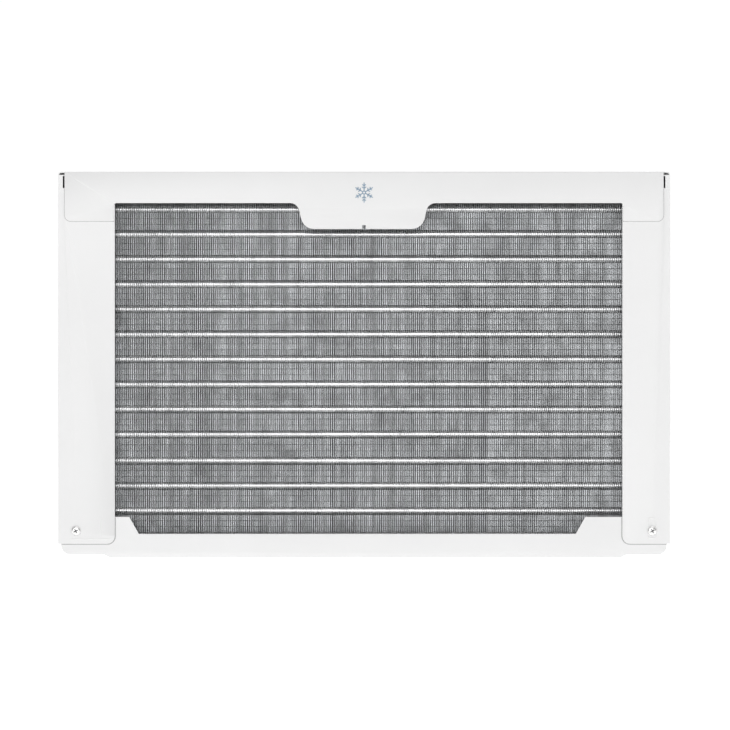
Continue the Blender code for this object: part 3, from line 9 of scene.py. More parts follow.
import bmesh
import bpy
import numpy as np
from bpy.props import FloatProperty, FloatVectorProperty, IntProperty, PointerProperty
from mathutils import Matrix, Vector


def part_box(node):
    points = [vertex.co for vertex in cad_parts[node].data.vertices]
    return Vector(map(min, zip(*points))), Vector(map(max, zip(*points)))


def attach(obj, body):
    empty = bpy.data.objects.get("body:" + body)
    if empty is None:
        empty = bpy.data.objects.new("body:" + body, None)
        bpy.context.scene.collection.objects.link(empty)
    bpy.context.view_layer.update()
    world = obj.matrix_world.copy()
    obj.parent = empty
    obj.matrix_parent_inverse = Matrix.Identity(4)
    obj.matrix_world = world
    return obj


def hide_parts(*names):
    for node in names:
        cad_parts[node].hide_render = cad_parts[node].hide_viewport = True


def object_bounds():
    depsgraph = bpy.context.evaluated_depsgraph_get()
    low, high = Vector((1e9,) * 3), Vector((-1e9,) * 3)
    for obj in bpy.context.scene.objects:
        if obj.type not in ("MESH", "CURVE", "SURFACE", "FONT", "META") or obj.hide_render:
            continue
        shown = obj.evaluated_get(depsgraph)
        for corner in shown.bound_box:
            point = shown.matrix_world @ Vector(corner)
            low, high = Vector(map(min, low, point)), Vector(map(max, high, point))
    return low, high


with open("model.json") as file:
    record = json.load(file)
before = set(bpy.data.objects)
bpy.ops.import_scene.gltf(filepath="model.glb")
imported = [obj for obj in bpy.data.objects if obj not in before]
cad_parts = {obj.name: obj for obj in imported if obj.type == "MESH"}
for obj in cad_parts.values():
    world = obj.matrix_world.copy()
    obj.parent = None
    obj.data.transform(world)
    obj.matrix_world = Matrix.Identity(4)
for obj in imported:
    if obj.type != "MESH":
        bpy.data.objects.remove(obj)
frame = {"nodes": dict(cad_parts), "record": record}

bl_info = {
    "name": "Window Air Conditioner",
    "version": (1, 0, 0),
    "blender": (4, 5, 0),
    "location": "3D View > Sidebar > Air Conditioner",
    "description": "Builds the finished pieces of a window air conditioner round its packed frame",
    "category": "Object",
}

CAD_LOW, CAD_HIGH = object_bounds()
BODIES = frame["record"]["behaviour"]["bodies"]
BODY = {node: body for body, nodes in BODIES.items() for node in nodes}
SLOT = {entry["node"]: entry["material_slot"] for entry in frame["record"]["subparts"]}
SHEET = 0.0010
GAP = 0.0003
TAB_CORNER = 0.006
FLANGE_CORNER = 0.0075
SCREW_TURN = 0.5
COMPRESSOR_AXIS = (0.175, 0.080)
FAN_BLADES = 5
BLADE_TURN = math.radians(2.3)
BOX_SIDES = np.array([[0, 3, 2, 1], [4, 5, 6, 7], [0, 1, 5, 4], [1, 2, 6, 5], [2, 3, 7, 6], [3, 0, 4, 7]])


# Sizes and colours


def metres(name, description, default):
    """A length that the sidebar shows in scene units."""
    return FloatProperty(name=name, description=description, default=default, unit="LENGTH", precision=5)


def tint(name, description, default):
    """A linear colour."""
    return FloatVectorProperty(name=name, description=description, default=default, subtype="COLOR",
                               size=3, min=0.0, max=1.0)


class StudioSettings(bpy.types.PropertyGroup):
    """Camera, lights and floor."""

    camera_x: metres("Camera across", "How far the camera stands from the middle", -0.0009)
    camera_height: metres("Camera height", "Height of the camera above the floor", 0.1886)
    camera_reach: metres("Camera distance", "Distance from the rear face to the camera", 2.4)
    lens: FloatProperty(name="Lens", description="Focal length in millimetres", default=120.8)
    floor_size: metres("Floor size", "Length of each side of the floor", 6.4)
    rear_light: FloatProperty(name="Rear light", description="Power behind the camera", default=29.5,
                              unit="POWER")
    room_light: FloatProperty(name="Room light", description="Power on the room side", default=34.0,
                              unit="POWER")
    top_light: FloatProperty(name="Top light", description="Power overhead", default=18.0, unit="POWER")
    sky: FloatProperty(name="Sky", description="Light from all round", default=0.42)


class CabinetSettings(bpy.types.PropertyGroup):
    """Folded sheet, its vents and its small raised marks."""

    edge_round: metres("Edge round", "Rounding of the sheet's cut edges", 0.00028)
    scoop_depth: metres("Scoop depth", "How far a vent scoop reaches inwards", 0.0060)
    slot_length: metres("Slot length", "Length of a vent slot", 0.075)
    slot_height: metres("Slot height", "Height of a vent slot", 0.006)
    slot_pitch: metres("Slot pitch", "Distance from slot to slot", 0.020)
    side_slot_start: metres("Lowest slot", "Height of the lowest side slot", 0.150)
    top_slot_start: metres("First top slot", "Distance of the first top slot from the middle", 0.170)
    bead: metres("Bead height", "Height of the pressed beads", 0.00028)
    badge: metres("Badge radius", "Length of a snowflake arm", 0.0098)
    recess: metres("Recess depth", "Depth of the cross recess in a screw", 0.0014)
    tab_inset: metres("Tab inset", "Distance of a corner tab from the cabinet's side", 0.0065)
    tab_drop: metres("Tab drop", "Height of a corner tab, from the cabinet's top", 0.0485)
    flange_bottom: metres("Flange bottom", "Height of the side flanges' lower edge", 0.0132)
    left_opening: metres("Left opening", "Distance of the opening's left edge from the middle", 0.2444)
    right_opening: metres("Right opening", "Distance of the opening's right edge from the middle", 0.2532)
    # Widths of the grey lines painted as shadow round each corner tab and under each side flange
    tab_shadow_width: metres("Tab seam", "Width of the seam round a corner tab", 0.0011)
    flange_shadow_width: metres("Flange seam", "Width of the seam under a side flange", 0.0018)


class CoilSettings(bpy.types.PropertyGroup):
    """Fins and tubes of both coils."""

    tube_radius: metres("Tube radius", "Outer radius of the coil tubes", 0.0040)
    tube_pitch: metres("Tube pitch", "Height from tube to tube", 0.0247)
    tube_step: metres("Tube step", "Height across the joint between the two coil halves", 0.0260)
    upper_tubes: IntProperty(name="Upper tubes", description="Tubes in the upper half", default=10)
    lower_tubes: IntProperty(name="Lower tubes", description="Tubes in the lower half", default=4)
    room_tubes: IntProperty(name="Room tubes", description="Tubes in a row of the room coil", default=10)
    fin_pitch: metres("Fin pitch", "Distance from fin to fin", 0.0021)
    fin_gauge: metres("Fin gauge", "Thickness of a fin", 0.00014)
    fin_wave: metres("Fin wave", "Half height of a fin's corrugation", 0.00085)
    fin_margin: metres("Flat margin", "Width of the flat strip along a fin's outer edge", 0.0075)
    strip_rows: IntProperty(name="Strip rows", description="Rows of strips between two tubes", default=3)
    strip_width: metres("Strip width", "How far a raised strip stands out beside its fin", 0.00118)
    strip_depth: metres("Strip depth", "How far a raised strip slopes into the coil", 0.0016)
    strip_gap: metres("Strip gap", "Height between two rows of strips", 0.0005)
    strip_start: metres("Strip start", "Distance from a tube's middle to the first strip", 0.0037)


class FrontSettings(bpy.types.PropertyGroup):
    """Moulded room side, its filter and its controls."""

    panel_round: metres("Panel round", "Rounding of the moulded edges", 0.0007)
    vane_round: metres("Vane round", "Rounding of louvers and deflectors", 0.0004)
    mesh_pitch: metres("Mesh pitch", "Distance from strand to strand in the filter", 0.0026)
    strand: metres("Strand", "Thickness of a filter strand", 0.00034)
    icon_size: metres("Icon size", "Half height of a button's icon", 0.0023)
    icon_line: metres("Icon line", "Width of an icon's lines", 0.00052)
    icon_height: metres("Icon height", "Height of an icon above its button", 0.00012)
    digit: metres("Digit height", "Height of a display digit", 0.0100)


class ColourSettings(bpy.types.PropertyGroup):
    """Colours of the main finishes."""

    cabinet: tint("Cabinet paint", "Powder coat on the folded sheet", (0.80, 0.80, 0.80))
    panel: tint("Panel plastic", "Moulded room side", (0.74, 0.745, 0.74))
    fascia: tint("Fascia", "Plate round the buttons", (0.42, 0.44, 0.46))
    button: tint("Buttons", "Button caps", (0.78, 0.785, 0.78))
    icon: tint("Icons", "Printed icons", (0.10, 0.12, 0.14))
    badge: tint("Badge", "Snowflake mark", (0.20, 0.30, 0.40))
    fins: tint("Fins", "Fin stock", (0.82, 0.83, 0.84))
    tubes: tint("Tubes", "Bright tube and collars", (0.92, 0.92, 0.92))
    filter: tint("Filter", "Filter frame and mesh", (0.26, 0.30, 0.34))


# Shapes. Each returns its points and its faces.


def lattice(rows, columns, close_rows=False, close_columns=False):
    """Four-sided faces of a grid whose points are numbered row by row."""
    row = np.arange(rows if close_rows else rows - 1)[:, None]
    column = np.arange(columns if close_columns else columns - 1)[None, :]
    below, beside = (row + 1) % rows, (column + 1) % columns
    quads = [row * columns + column, row * columns + beside, below * columns + beside,
             below * columns + column]
    return np.stack(np.broadcast_arrays(*quads), -1).reshape(-1, 4).tolist()


def gathered(shapes):
    """Several shapes as one."""
    points, faces, start = [], [], 0
    for some, quads in shapes:
        points.append(np.asarray(some).reshape(-1, 3))
        faces += [[start + k for k in face] for face in quads]
        start += len(points[-1])
    return np.concatenate(points), faces


def placed(axis, u, v, w):
    """Points at (u, v) across an axis and w along it, with the axes in the order of the CAD."""
    order = {"X": (w, u, v), "Y": (u, w, v), "Z": (u, v, w)}[axis]
    return np.stack(np.broadcast_arrays(*order), -1)


def tube(path, radius, sides=16, across=(0.0, 1.0, 0.0), flat=1.0, closed=False):
    """A ring carried along a path: point = path + radius (side cos a + flat up sin a)."""
    path = np.asarray(path, float)
    if closed:
        ahead = np.roll(path, -1, 0) - np.roll(path, 1, 0)
    else:
        ahead = np.gradient(path, axis=0)
    ahead /= np.linalg.norm(ahead, axis=1, keepdims=True)
    side = np.cross(ahead, across)
    side /= np.linalg.norm(side, axis=1, keepdims=True)
    up = np.cross(side, ahead)
    angle = 2 * np.pi * np.arange(sides)[None, :, None] / sides
    reach = np.broadcast_to(radius, len(path))[:, None, None]
    points = path[:, None] + reach * (side[:, None] * np.cos(angle) + up[:, None] * np.sin(angle) * flat)
    faces = lattice(len(path), sides, close_rows=closed, close_columns=True)
    if not closed:
        last = (len(path) - 1) * sides
        faces += [list(range(sides))[::-1], list(range(last, last + sides))]
    return points.reshape(-1, 3), faces


def turned(profile, centre, axis, sides=40, ring=False):
    """(radius, distance) points carried round an axis: (radius cos a, radius sin a, distance)."""
    radius, along = np.array(profile, float).T
    angle = 2 * np.pi * np.arange(sides)[None, :] / sides
    u = centre[0] + radius[:, None] * np.cos(angle)
    v = centre[1] + radius[:, None] * np.sin(angle)
    points = placed(axis, u, v, along[:, None]).reshape(-1, 3)
    return points, lattice(len(profile), sides, close_rows=ring, close_columns=True)


def centre_of(node, across="xz"):
    """Middle of a node's box in two directions."""
    low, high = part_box(node)
    return tuple((getattr(low, way) + getattr(high, way)) / 2 for way in across)


def box_faces(count):
    """Faces of many boxes whose corners follow each other, the lower four of each box first."""
    return (BOX_SIDES[None] + 8 * np.arange(count)[:, None, None]).reshape(-1, 4).tolist()


def blocks(low, high):
    """Many boxes from arrays of their lowest and highest corners."""
    low, high = np.atleast_2d(low), np.atleast_2d(high)
    pick = np.array([[0, 0, 0], [1, 0, 0], [1, 1, 0], [0, 1, 0], [0, 0, 1], [1, 0, 1], [1, 1, 1], [0, 1, 1]])
    points = low[:, None] + pick[None] * (high - low)[:, None]
    return points.reshape(-1, 3), box_faces(len(low))


def arc(u, v, radius, first, last, steps=24):
    """Points of an arc, with its angles in degrees."""
    angle = np.radians(np.linspace(first, last, steps))
    return np.stack([u + radius * np.cos(angle), v + radius * np.sin(angle)], -1)


def ridges(lines, y, width, height):
    """Half-sunk raised lines on an upright plane, one for each path of (x, z) points."""
    shapes = []
    for line in lines:
        line = np.asarray(line, float)
        loop = len(line) > 3 and np.allclose(line[0], line[-1])
        line = line[:-1] if loop else line
        path = placed("Y", line[:, 0], line[:, 1], y)
        shapes.append(tube(path, width / 2, 8, flat=2 * height / width, closed=loop))
    return gathered(shapes)


# Pieces


def add(name, shape, body, slot, look=None, bevel=0.0, smooth=35, thickness=0.0):
    """A new piece from points and faces: merged, turned outwards, shaded, and riding on its body."""
    mesh = bpy.data.meshes.new(name)
    points, faces = shape
    mesh.from_pydata(np.asarray(points).reshape(-1, 3).tolist(), [], faces)
    work = bmesh.new()
    work.from_mesh(mesh)
    bmesh.ops.remove_doubles(work, verts=work.verts, dist=1e-7)
    bmesh.ops.recalc_face_normals(work, faces=work.faces)
    work.to_mesh(mesh)
    work.free()
    return dress(name, mesh, body, slot, look, bevel, 2, smooth, thickness)


def dress(name, mesh, body, slot, look, bevel, segments, smooth, thickness=0.0):
    """The object round a mesh, with its wall, its rounded edges, its finish and its body."""
    mesh.shade_smooth()
    mesh.set_sharp_from_angle(angle=math.radians(smooth))
    piece = bpy.data.objects.new(name, mesh)
    bpy.context.scene.collection.objects.link(piece)
    if thickness:
        wall = piece.modifiers.new("wall", "SOLIDIFY")
        wall.thickness = thickness
        wall.offset = 0.0
    if bevel:
        edge = piece.modifiers.new("edges", "BEVEL")
        edge.width = bevel
        edge.segments = segments
        edge.limit_method = "ANGLE"
        edge.angle_limit = math.radians(smooth)
        edge.harden_normals = True
    mesh.materials.clear()
    mesh.materials.append(look or finish(slot))
    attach(piece, body)
    return piece


def rounded_copy(node, bevel, segments=2, smooth=30, levels=0, look=None):
    """A merged copy of a CAD mesh with its edges rounded, which stands for it."""
    mesh = frame["nodes"][node].data.copy()
    work = bmesh.new()
    work.from_mesh(mesh)
    bmesh.ops.remove_doubles(work, verts=work.verts, dist=1e-6)
    work.to_mesh(mesh)
    work.free()
    piece = dress(f"{node}_finished", mesh, BODY[node], SLOT[node], look, bevel, segments, smooth)
    if levels:
        step = piece.modifiers.new("round", "SUBSURF")
        step.levels = step.render_levels = levels
    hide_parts(node)
    return piece


def stand_in(node, shape, bevel=0.0, smooth=35):
    """A new piece in place of a CAD node, on the same body and with the same finish."""
    piece = add(f"{node}_finished", shape, BODY[node], SLOT[node], None, bevel, smooth)
    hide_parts(node)
    return piece


# Finishes


class Finish:
    """One material, and short ways to lay patterns over it on Object coordinates."""

    def __init__(self, name, colour, roughness, metallic=0.0, **sockets):
        self.material = bpy.data.materials.new(name)
        self.material.use_nodes = True
        self.nodes = self.material.node_tree.nodes
        self.links = self.material.node_tree.links
        self.shader = self.nodes["Principled BSDF"]
        values = {"Base Color": (*colour, 1.0), "Roughness": roughness, "Metallic": metallic}
        values.update({key.replace("_", " "): value for key, value in sockets.items()})
        for key, value in values.items():
            self.shader.inputs[key].default_value = value
        self.object = self.nodes.new("ShaderNodeTexCoord").outputs["Object"]

    def node(self, kind, inputs, **settings):
        """A node with its settings, and its inputs set or joined."""
        made = self.nodes.new(kind)
        for key, value in settings.items():
            setattr(made, key, value)
        for key, value in inputs.items():
            if isinstance(value, bpy.types.NodeSocket):
                self.links.new(value, made.inputs[key])
            else:
                made.inputs[key].default_value = value
        return made

    def mapped(self, stretch, turn=(0.0, 0.0, 0.0)):
        """Object coordinates, stretched and turned."""
        made = self.node("ShaderNodeMapping", {"Vector": self.object, "Scale": stretch, "Rotation": turn})
        return made.outputs["Vector"]

    def noise(self, scale, detail=4.0, stretch=(1.0, 1.0, 1.0), distortion=0.0):
        """Soft clouds."""
        made = self.node("ShaderNodeTexNoise", {"Vector": self.mapped(stretch), "Scale": scale,
                                                "Detail": detail, "Distortion": distortion})
        return made.outputs["Fac"]

    def cells(self, scale, output="Distance", feature="F1", stretch=(1.0, 1.0, 1.0)):
        """Crystal-like cells."""
        made = self.node("ShaderNodeTexVoronoi", {"Vector": self.mapped(stretch), "Scale": scale},
                         feature=feature)
        return made.outputs[output]

    def waves(self, scale, direction="X", distortion=0.0, turn=(0.0, 0.0, 0.0)):
        """Parallel bands."""
        made = self.node("ShaderNodeTexWave", {"Vector": self.mapped((1.0, 1.0, 1.0), turn), "Scale": scale,
                                               "Distortion": distortion}, bands_direction=direction)
        return made.outputs["Fac"]

    def spread(self, pattern, low, high, start=0.35, end=0.65):
        """A pattern's values spread between two others."""
        made = self.node("ShaderNodeMapRange", {"Value": pattern, "From Min": start, "From Max": end,
                                                "To Min": low, "To Max": high})
        return made.outputs["Result"]

    def blend(self, share, first, second):
        """Two colours mixed by a pattern."""
        made = self.node("ShaderNodeMix", {"Factor": share}, data_type="RGBA")
        for socket, colour in ((made.inputs[6], first), (made.inputs[7], second)):
            if isinstance(colour, bpy.types.NodeSocket):
                self.links.new(colour, socket)
            else:
                socket.default_value = (*colour, 1.0)
        return made.outputs[2]

    def colour(self, pattern, first, second, start=0.35, end=0.65):
        """Base colour that moves between two colours with a pattern."""
        self.links.new(self.blend(self.spread(pattern, 0.0, 1.0, start, end), first, second),
                       self.shader.inputs["Base Color"])

    def rough(self, pattern, low, high, start=0.35, end=0.65):
        """Roughness that moves between two values with a pattern."""
        self.links.new(self.spread(pattern, low, high, start, end), self.shader.inputs["Roughness"])

    def relief(self, *layers):
        """Bumps laid one over another, as (pattern, height in metres) pairs."""
        below = None
        for pattern, height in layers:
            inputs = {"Height": pattern, "Strength": 0.6, "Distance": height}
            if below is not None:
                inputs["Normal"] = below
            below = self.node("ShaderNodeBump", inputs).outputs["Normal"]
        self.links.new(below, self.shader.inputs["Normal"])


def shade(colour, factor):
    """A colour made lighter or darker."""
    return tuple(min(1.0, c * factor) for c in colour)


def powder_coat(colours):
    """White powder coat: orange peel over fine grit, with a slow drift in tone."""
    f = Finish("white_powder_coat", colours.cabinet, 0.40, Specular_IOR_Level=0.45)
    f.colour(f.noise(9.0), shade(colours.cabinet, 0.985), shade(colours.cabinet, 1.012))
    f.rough(f.noise(160.0), 0.36, 0.46)
    f.relief((f.noise(420.0, 2.0), 0.00006), (f.noise(2600.0, 2.0), 0.000015))
    return f.material


def fin_stock(colours):
    """Thin aluminium fins: a tone of their own for each few fins, drawn streaks and dull oxide."""
    f = Finish("aluminium_fin_stock", colours.fins, 0.42, 0.8)
    strip = f.noise(1.0, 3.0, (240.0, 12.0, 5.0))
    oxide = f.noise(55.0, 6.0)
    patches = f.spread(oxide, 0.0, 1.0, 0.52, 0.72)
    worn = f.blend(patches, shade(colours.fins, 1.12), shade(colours.fins, 0.80))
    f.colour(strip, shade(colours.fins, 0.84), worn, 0.3, 0.6)
    f.rough(oxide, 0.34, 0.52)
    f.relief((f.noise(900.0, 3.0, (1.0, 0.2, 1.0)), 0.00003))
    return f.material


def bright_tube(colours):
    """Tube under pressed collars: one shallow ring for each fin and light drawing marks."""
    f = Finish("bright_collared_tube", colours.tubes, 0.24, 1.0)
    rings = f.waves(1 / 0.0021 / 2, "X")
    f.colour(f.noise(1.0, 3.0, (320.0, 40.0, 40.0)), shade(colours.tubes, 0.93), shade(colours.tubes, 1.05))
    f.rough(f.noise(80.0), 0.20, 0.28)
    f.relief((rings, 0.00003), (f.noise(700.0), 0.000006))
    return f.material


def galvanised(colours):
    """Hot-dip zinc: spangle in flat crystals, each with its own grey and gloss."""
    base = (0.50, 0.52, 0.53)
    f = Finish("galvanised_sheet", base, 0.42, 0.9)
    spangle = f.node("ShaderNodeSeparateColor", {"Color": f.cells(130.0, "Color")}).outputs["Red"]
    f.colour(spangle, shade(base, 0.80), shade(base, 1.22), 0.0, 1.0)
    f.rough(spangle, 0.30, 0.54, 0.0, 1.0)
    f.relief((f.cells(130.0, feature="SMOOTH_F1"), 0.00005), (f.noise(1200.0), 0.00001))
    return f.material


def copper(colours):
    """Drawn copper pipe, browned in patches, brighter where it was handled."""
    base = (0.74, 0.36, 0.20)
    f = Finish("drawn_copper", base, 0.32, 1.0)
    f.colour(f.noise(38.0, 6.0, distortion=0.6), base, (0.36, 0.17, 0.10), 0.45, 0.75)
    f.rough(f.noise(90.0, 5.0), 0.22, 0.48)
    f.relief((f.noise(500.0), 0.00003))
    return f.material


def moulded(name, base, gloss=0.44, grain=1300.0, depth=0.00003):
    """Moulded plastic with a spark-eroded grain, slow shade changes and rubbed patches."""
    f = Finish(name, base, gloss, Specular_IOR_Level=0.42)
    f.colour(f.noise(14.0), shade(base, 0.975), shade(base, 1.02))
    f.rough(f.noise(60.0, 5.0), gloss - 0.06, gloss + 0.07)
    f.relief((f.cells(grain, feature="SMOOTH_F1"), depth), (f.noise(grain * 2.2, 2.0), depth / 2))
    return f.material


def smoked_lens(colours):
    """Dark acrylic window with faint wiping marks."""
    base = (0.012, 0.014, 0.018)
    f = Finish("smoked_acrylic", base, 0.08, Coat_Weight=1.0, Coat_Roughness=0.04)
    f.colour(f.noise(30.0), base, shade(base, 1.5))
    f.rough(f.noise(220.0, 6.0, (1.0, 1.0, 6.0)), 0.05, 0.16, 0.45, 0.75)
    f.relief((f.noise(90.0), 0.00001))
    return f.material


def enamel(colours):
    """Black baked enamel with soft runs."""
    base = (0.020, 0.020, 0.022)
    f = Finish("black_enamel", base, 0.30, Coat_Weight=0.5, Coat_Roughness=0.12)
    f.colour(f.noise(24.0), base, shade(base, 1.9))
    f.rough(f.noise(70.0, 5.0), 0.22, 0.44)
    f.relief((f.noise(170.0, 2.0, (1.0, 1.0, 0.4)), 0.0001))
    return f.material


def rubber(colours):
    """Moulded rubber, dull and lightly dusted."""
    base = (0.022, 0.022, 0.023)
    f = Finish("black_rubber", base, 0.80)
    f.colour(f.noise(120.0, 6.0), base, (0.060, 0.058, 0.055), 0.5, 0.8)
    f.rough(f.noise(200.0), 0.68, 0.90)
    f.relief((f.noise(1500.0), 0.00003))
    return f.material


def bright_steel(name, base, direction, scale):
    """Turned steel with fine tool rings along one direction."""
    f = Finish(name, base, 0.28, 1.0)
    f.colour(f.noise(90.0), shade(base, 0.90), shade(base, 1.08))
    f.rough(f.noise(260.0), 0.20, 0.38)
    f.relief((f.waves(scale, direction, 1.5), 0.00001), (f.noise(900.0), 0.00001))
    return f.material


def circuit_board(colours):
    """Green solder mask over copper tracks on a fine grid."""
    base = (0.020, 0.120, 0.050)
    f = Finish("circuit_board", base, 0.36, Specular_IOR_Level=0.6)
    tracks = f.node("ShaderNodeTexBrick", {"Vector": f.mapped((1.0, 1.0, 1.0)), "Scale": 90.0,
                                           "Mortar Size": 0.05, "Brick Width": 0.8, "Row Height": 0.3})
    f.colour(tracks.outputs["Fac"], base, (0.050, 0.230, 0.090), 0.1, 0.9)
    f.rough(f.noise(120.0), 0.28, 0.46)
    f.relief((tracks.outputs["Fac"], 0.00005))
    return f.material


def plain_mark(name, colour, glow=0.0):
    """A flat colour with a slight mottle, for printed ink, glowing display marks and marks painted as shadow.
    """
    f = Finish(name, colour, 0.45)
    f.shader.inputs["Emission Color"].default_value = (*colour, 1.0)
    f.shader.inputs["Emission Strength"].default_value = glow
    f.colour(f.noise(900.0), shade(colour, 0.93), shade(colour, 1.05))
    f.rough(f.noise(600.0), 0.38, 0.52)
    return f.material


MAKERS = {
    "cabinet_paint": powder_coat,
    "fins": fin_stock,
    "tube_circuit": bright_tube,
    "galvanised": galvanised,
    "copper_pipe": copper,
    "panel_plastic": lambda c: moulded("white_panel_plastic", tuple(c.panel)),
    "fascia_plastic": lambda c: moulded("grey_fascia_plastic", tuple(c.fascia), 0.36, 1700.0, 0.00002),
    "lens": smoked_lens,
    "button_plastic": lambda c: moulded("button_plastic", tuple(c.button), 0.34, 2200.0, 0.000012),
    "filter_frame": lambda c: moulded("filter_plastic", tuple(c.filter), 0.50, 900.0),
    "dark_plastic": lambda c: moulded(
        "dark_glass_filled_plastic", (0.040, 0.041, 0.044), 0.52, 800.0, 0.00006),
    "compressor_paint": enamel,
    "rubber": rubber,
    "screw_steel": lambda c: bright_steel("bright_zinc", (0.88, 0.88, 0.87), "Y", 900.0),
    "shaft_steel": lambda c: bright_steel("ground_steel", (0.56, 0.56, 0.57), "Y", 700.0),
    "board": circuit_board,
    "capacitor_can": lambda c: bright_steel("drawn_can", (0.72, 0.73, 0.74), "Z", 500.0),
}
MADE = {}


def finish(slot):
    """The material of a slot, made the first time that it is asked for."""
    if slot not in MADE:
        MADE[slot] = MAKERS[slot](bpy.context.scene.ac_colours)
    return MADE[slot]


# Cabinet


def vent_scoops(settings):
    """Hoods pressed in behind the slots: depth = D sin(v) e(u), drop = H (1 - cos(v)), e rounds the ends."""
    u = np.linspace(0.0, 1.0, 13)[:, None]
    v = np.linspace(0.0, np.pi / 2, 6)[None, :]
    ends = np.sqrt(np.clip(1 - np.abs(2 * u - 1) ** 8, 0, 1))
    depth = SHEET + settings.scoop_depth * np.sin(v) * ends
    drop = (settings.slot_height + 0.0012) * (1 - np.cos(v)) * (0.3 + 0.7 * ends) - 0.0006
    side, top = CAD_HIGH.x, CAD_HIGH.z
    shapes = []
    faces = lattice(13, 6)
    for column in (0.0125, 0.1025):
        y = column + (u - 0.5) * (settings.slot_length - 0.0004)
        for k in range(7):
            crown = settings.side_slot_start + k * settings.slot_pitch + settings.slot_height / 2
            for hand in (-1, 1):
                shapes.append((placed("Z", hand * (side - depth), y, crown - drop), faces))
        for k in range(4):
            for hand in (-1, 1):
                outer = settings.top_slot_start + k * settings.slot_pitch + settings.slot_height / 2
                shapes.append((placed("Z", hand * (outer - drop), y, top - depth), faces))
    return gathered(shapes)


def pan_head(node, recess):
    """A pan-head screw: a dome carried round its axis, less a depth where either arm of a cross lies."""
    low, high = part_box(node)
    centre = centre_of(node)
    radius, crown = (high.x - low.x) / 2, high.y
    inner = np.linspace(0.0, 0.62, 22) * radius
    dome = crown - 0.0007 * (inner / radius) ** 2
    rim = [(0.74, 0.00045), (0.86, 0.0008), (0.95, 0.0013), (1.0, 0.0018), (0.99, 0.0021), (0.39, 0.0022),
           (0.39, 0.0090), (0.0, 0.0108)]
    r = np.concatenate([inner, [share * radius for share, _ in rim]])
    y = np.concatenate([dome, [crown - fall for _, fall in rim]])
    sides = 72
    angle = 2 * np.pi * np.arange(sides)[None, :] / sides
    across, up = r[:, None] * np.cos(angle + SCREW_TURN), r[:, None] * np.sin(angle + SCREW_TURN)

    def inside(a, b):
        arm = np.clip((0.00052 - np.abs(a)) / 0.00016, 0, 1)
        return arm * np.clip((0.0024 - np.abs(b)) / 0.0009, 0, 1)

    sunk = np.maximum(inside(across, up), inside(up, across)) * recess
    sunk[22:] = 0
    cos, sin = np.cos(SCREW_TURN), np.sin(SCREW_TURN)
    points = placed("Y", centre[0] + across * cos + up * sin, centre[1] + up * cos - across * sin,
                    y[:, None] - sunk)
    return points.reshape(-1, 3), lattice(len(r), sides, close_columns=True)


def snowflake(arm):
    """Six arms with two pairs of side branches each, round a small hexagon, as (x, z) paths."""
    lines = [arc(0, 0, 0.16 * arm, 0, 360, 7)]
    for k in range(6):
        angle = math.radians(60 * k + 30)
        ahead = np.array([math.cos(angle), math.sin(angle)])
        lines.append([ahead * 0.16 * arm, ahead * arm])
        for start, length in ((0.42, 0.26), (0.68, 0.22)):
            for turn in (-1, 1):
                lean = angle + turn * math.radians(55)
                tip = ahead * start * arm + np.array([math.cos(lean), math.sin(lean)]) * length * arm
                lines.append([ahead * start * arm, tip])
    return [np.asarray(line) for line in lines]


def box_line(x, z, corner):
    """The closed outline of a rectangle with round corners, as (x, z) points."""
    corners = [(x[1] - corner, z[1] - corner, 0), (x[0] + corner, z[1] - corner, 90),
               (x[0] + corner, z[0] + corner, 180), (x[1] - corner, z[0] + corner, 270)]
    line = np.concatenate([arc(u, v, corner, start, start + 90, 5) for u, v, start in corners])
    return np.concatenate([line, line[:1]])


def flange_beads():
    """Shallow beads pressed in the rear flanges, as (x, z) paths."""
    left = CAD_HIGH.x
    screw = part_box("rear_screw_right")
    slot_x = (screw[0].x + 0.0012, screw[1].x - 0.0012)
    return [
        [(left - 0.0418, 0.0215), (left - 0.0418, 0.0400)],
        [(left - 0.0130, 0.0182), (left - 0.0520, 0.0182)],
        box_line(slot_x, (0.0190, 0.0390), 0.0012),
    ]


def tab_shadow_lines(settings):
    """Outline of each corner tab, from its relief slot round to the opening, as (x, z) paths for a grey line
    painted as shadow.
    """
    edge, drop = CAD_HIGH.x - settings.tab_inset, CAD_HIGH.z - settings.tab_drop
    bend = arc(edge - TAB_CORNER, drop + TAB_CORNER, TAB_CORNER, 0, -90, 7)
    lines = []
    for side, opening in ((1, settings.left_opening), (-1, settings.right_opening)):
        line = np.concatenate([[(edge, CAD_HIGH.z - 0.0165)], bend, [(opening + 0.0006, drop)]])
        lines.append(line * (side, 1))
    return lines


def flange_shadow_lines(settings):
    """Lower outline of each side flange, over the base pan, as (x, z) paths for a grey line painted as
    shadow.
    """
    base, corner = settings.flange_bottom, FLANGE_CORNER
    lines = []
    for side, opening in ((1, settings.left_opening), (-1, settings.right_opening)):
        bend = arc(opening + corner, base + corner, corner, -90, -180, 7)
        line = np.concatenate([[(CAD_HIGH.x - 0.0034, base)], bend, [(opening, 0.0390)]])
        lines.append(line * (side, 1))
    return lines


# Coils


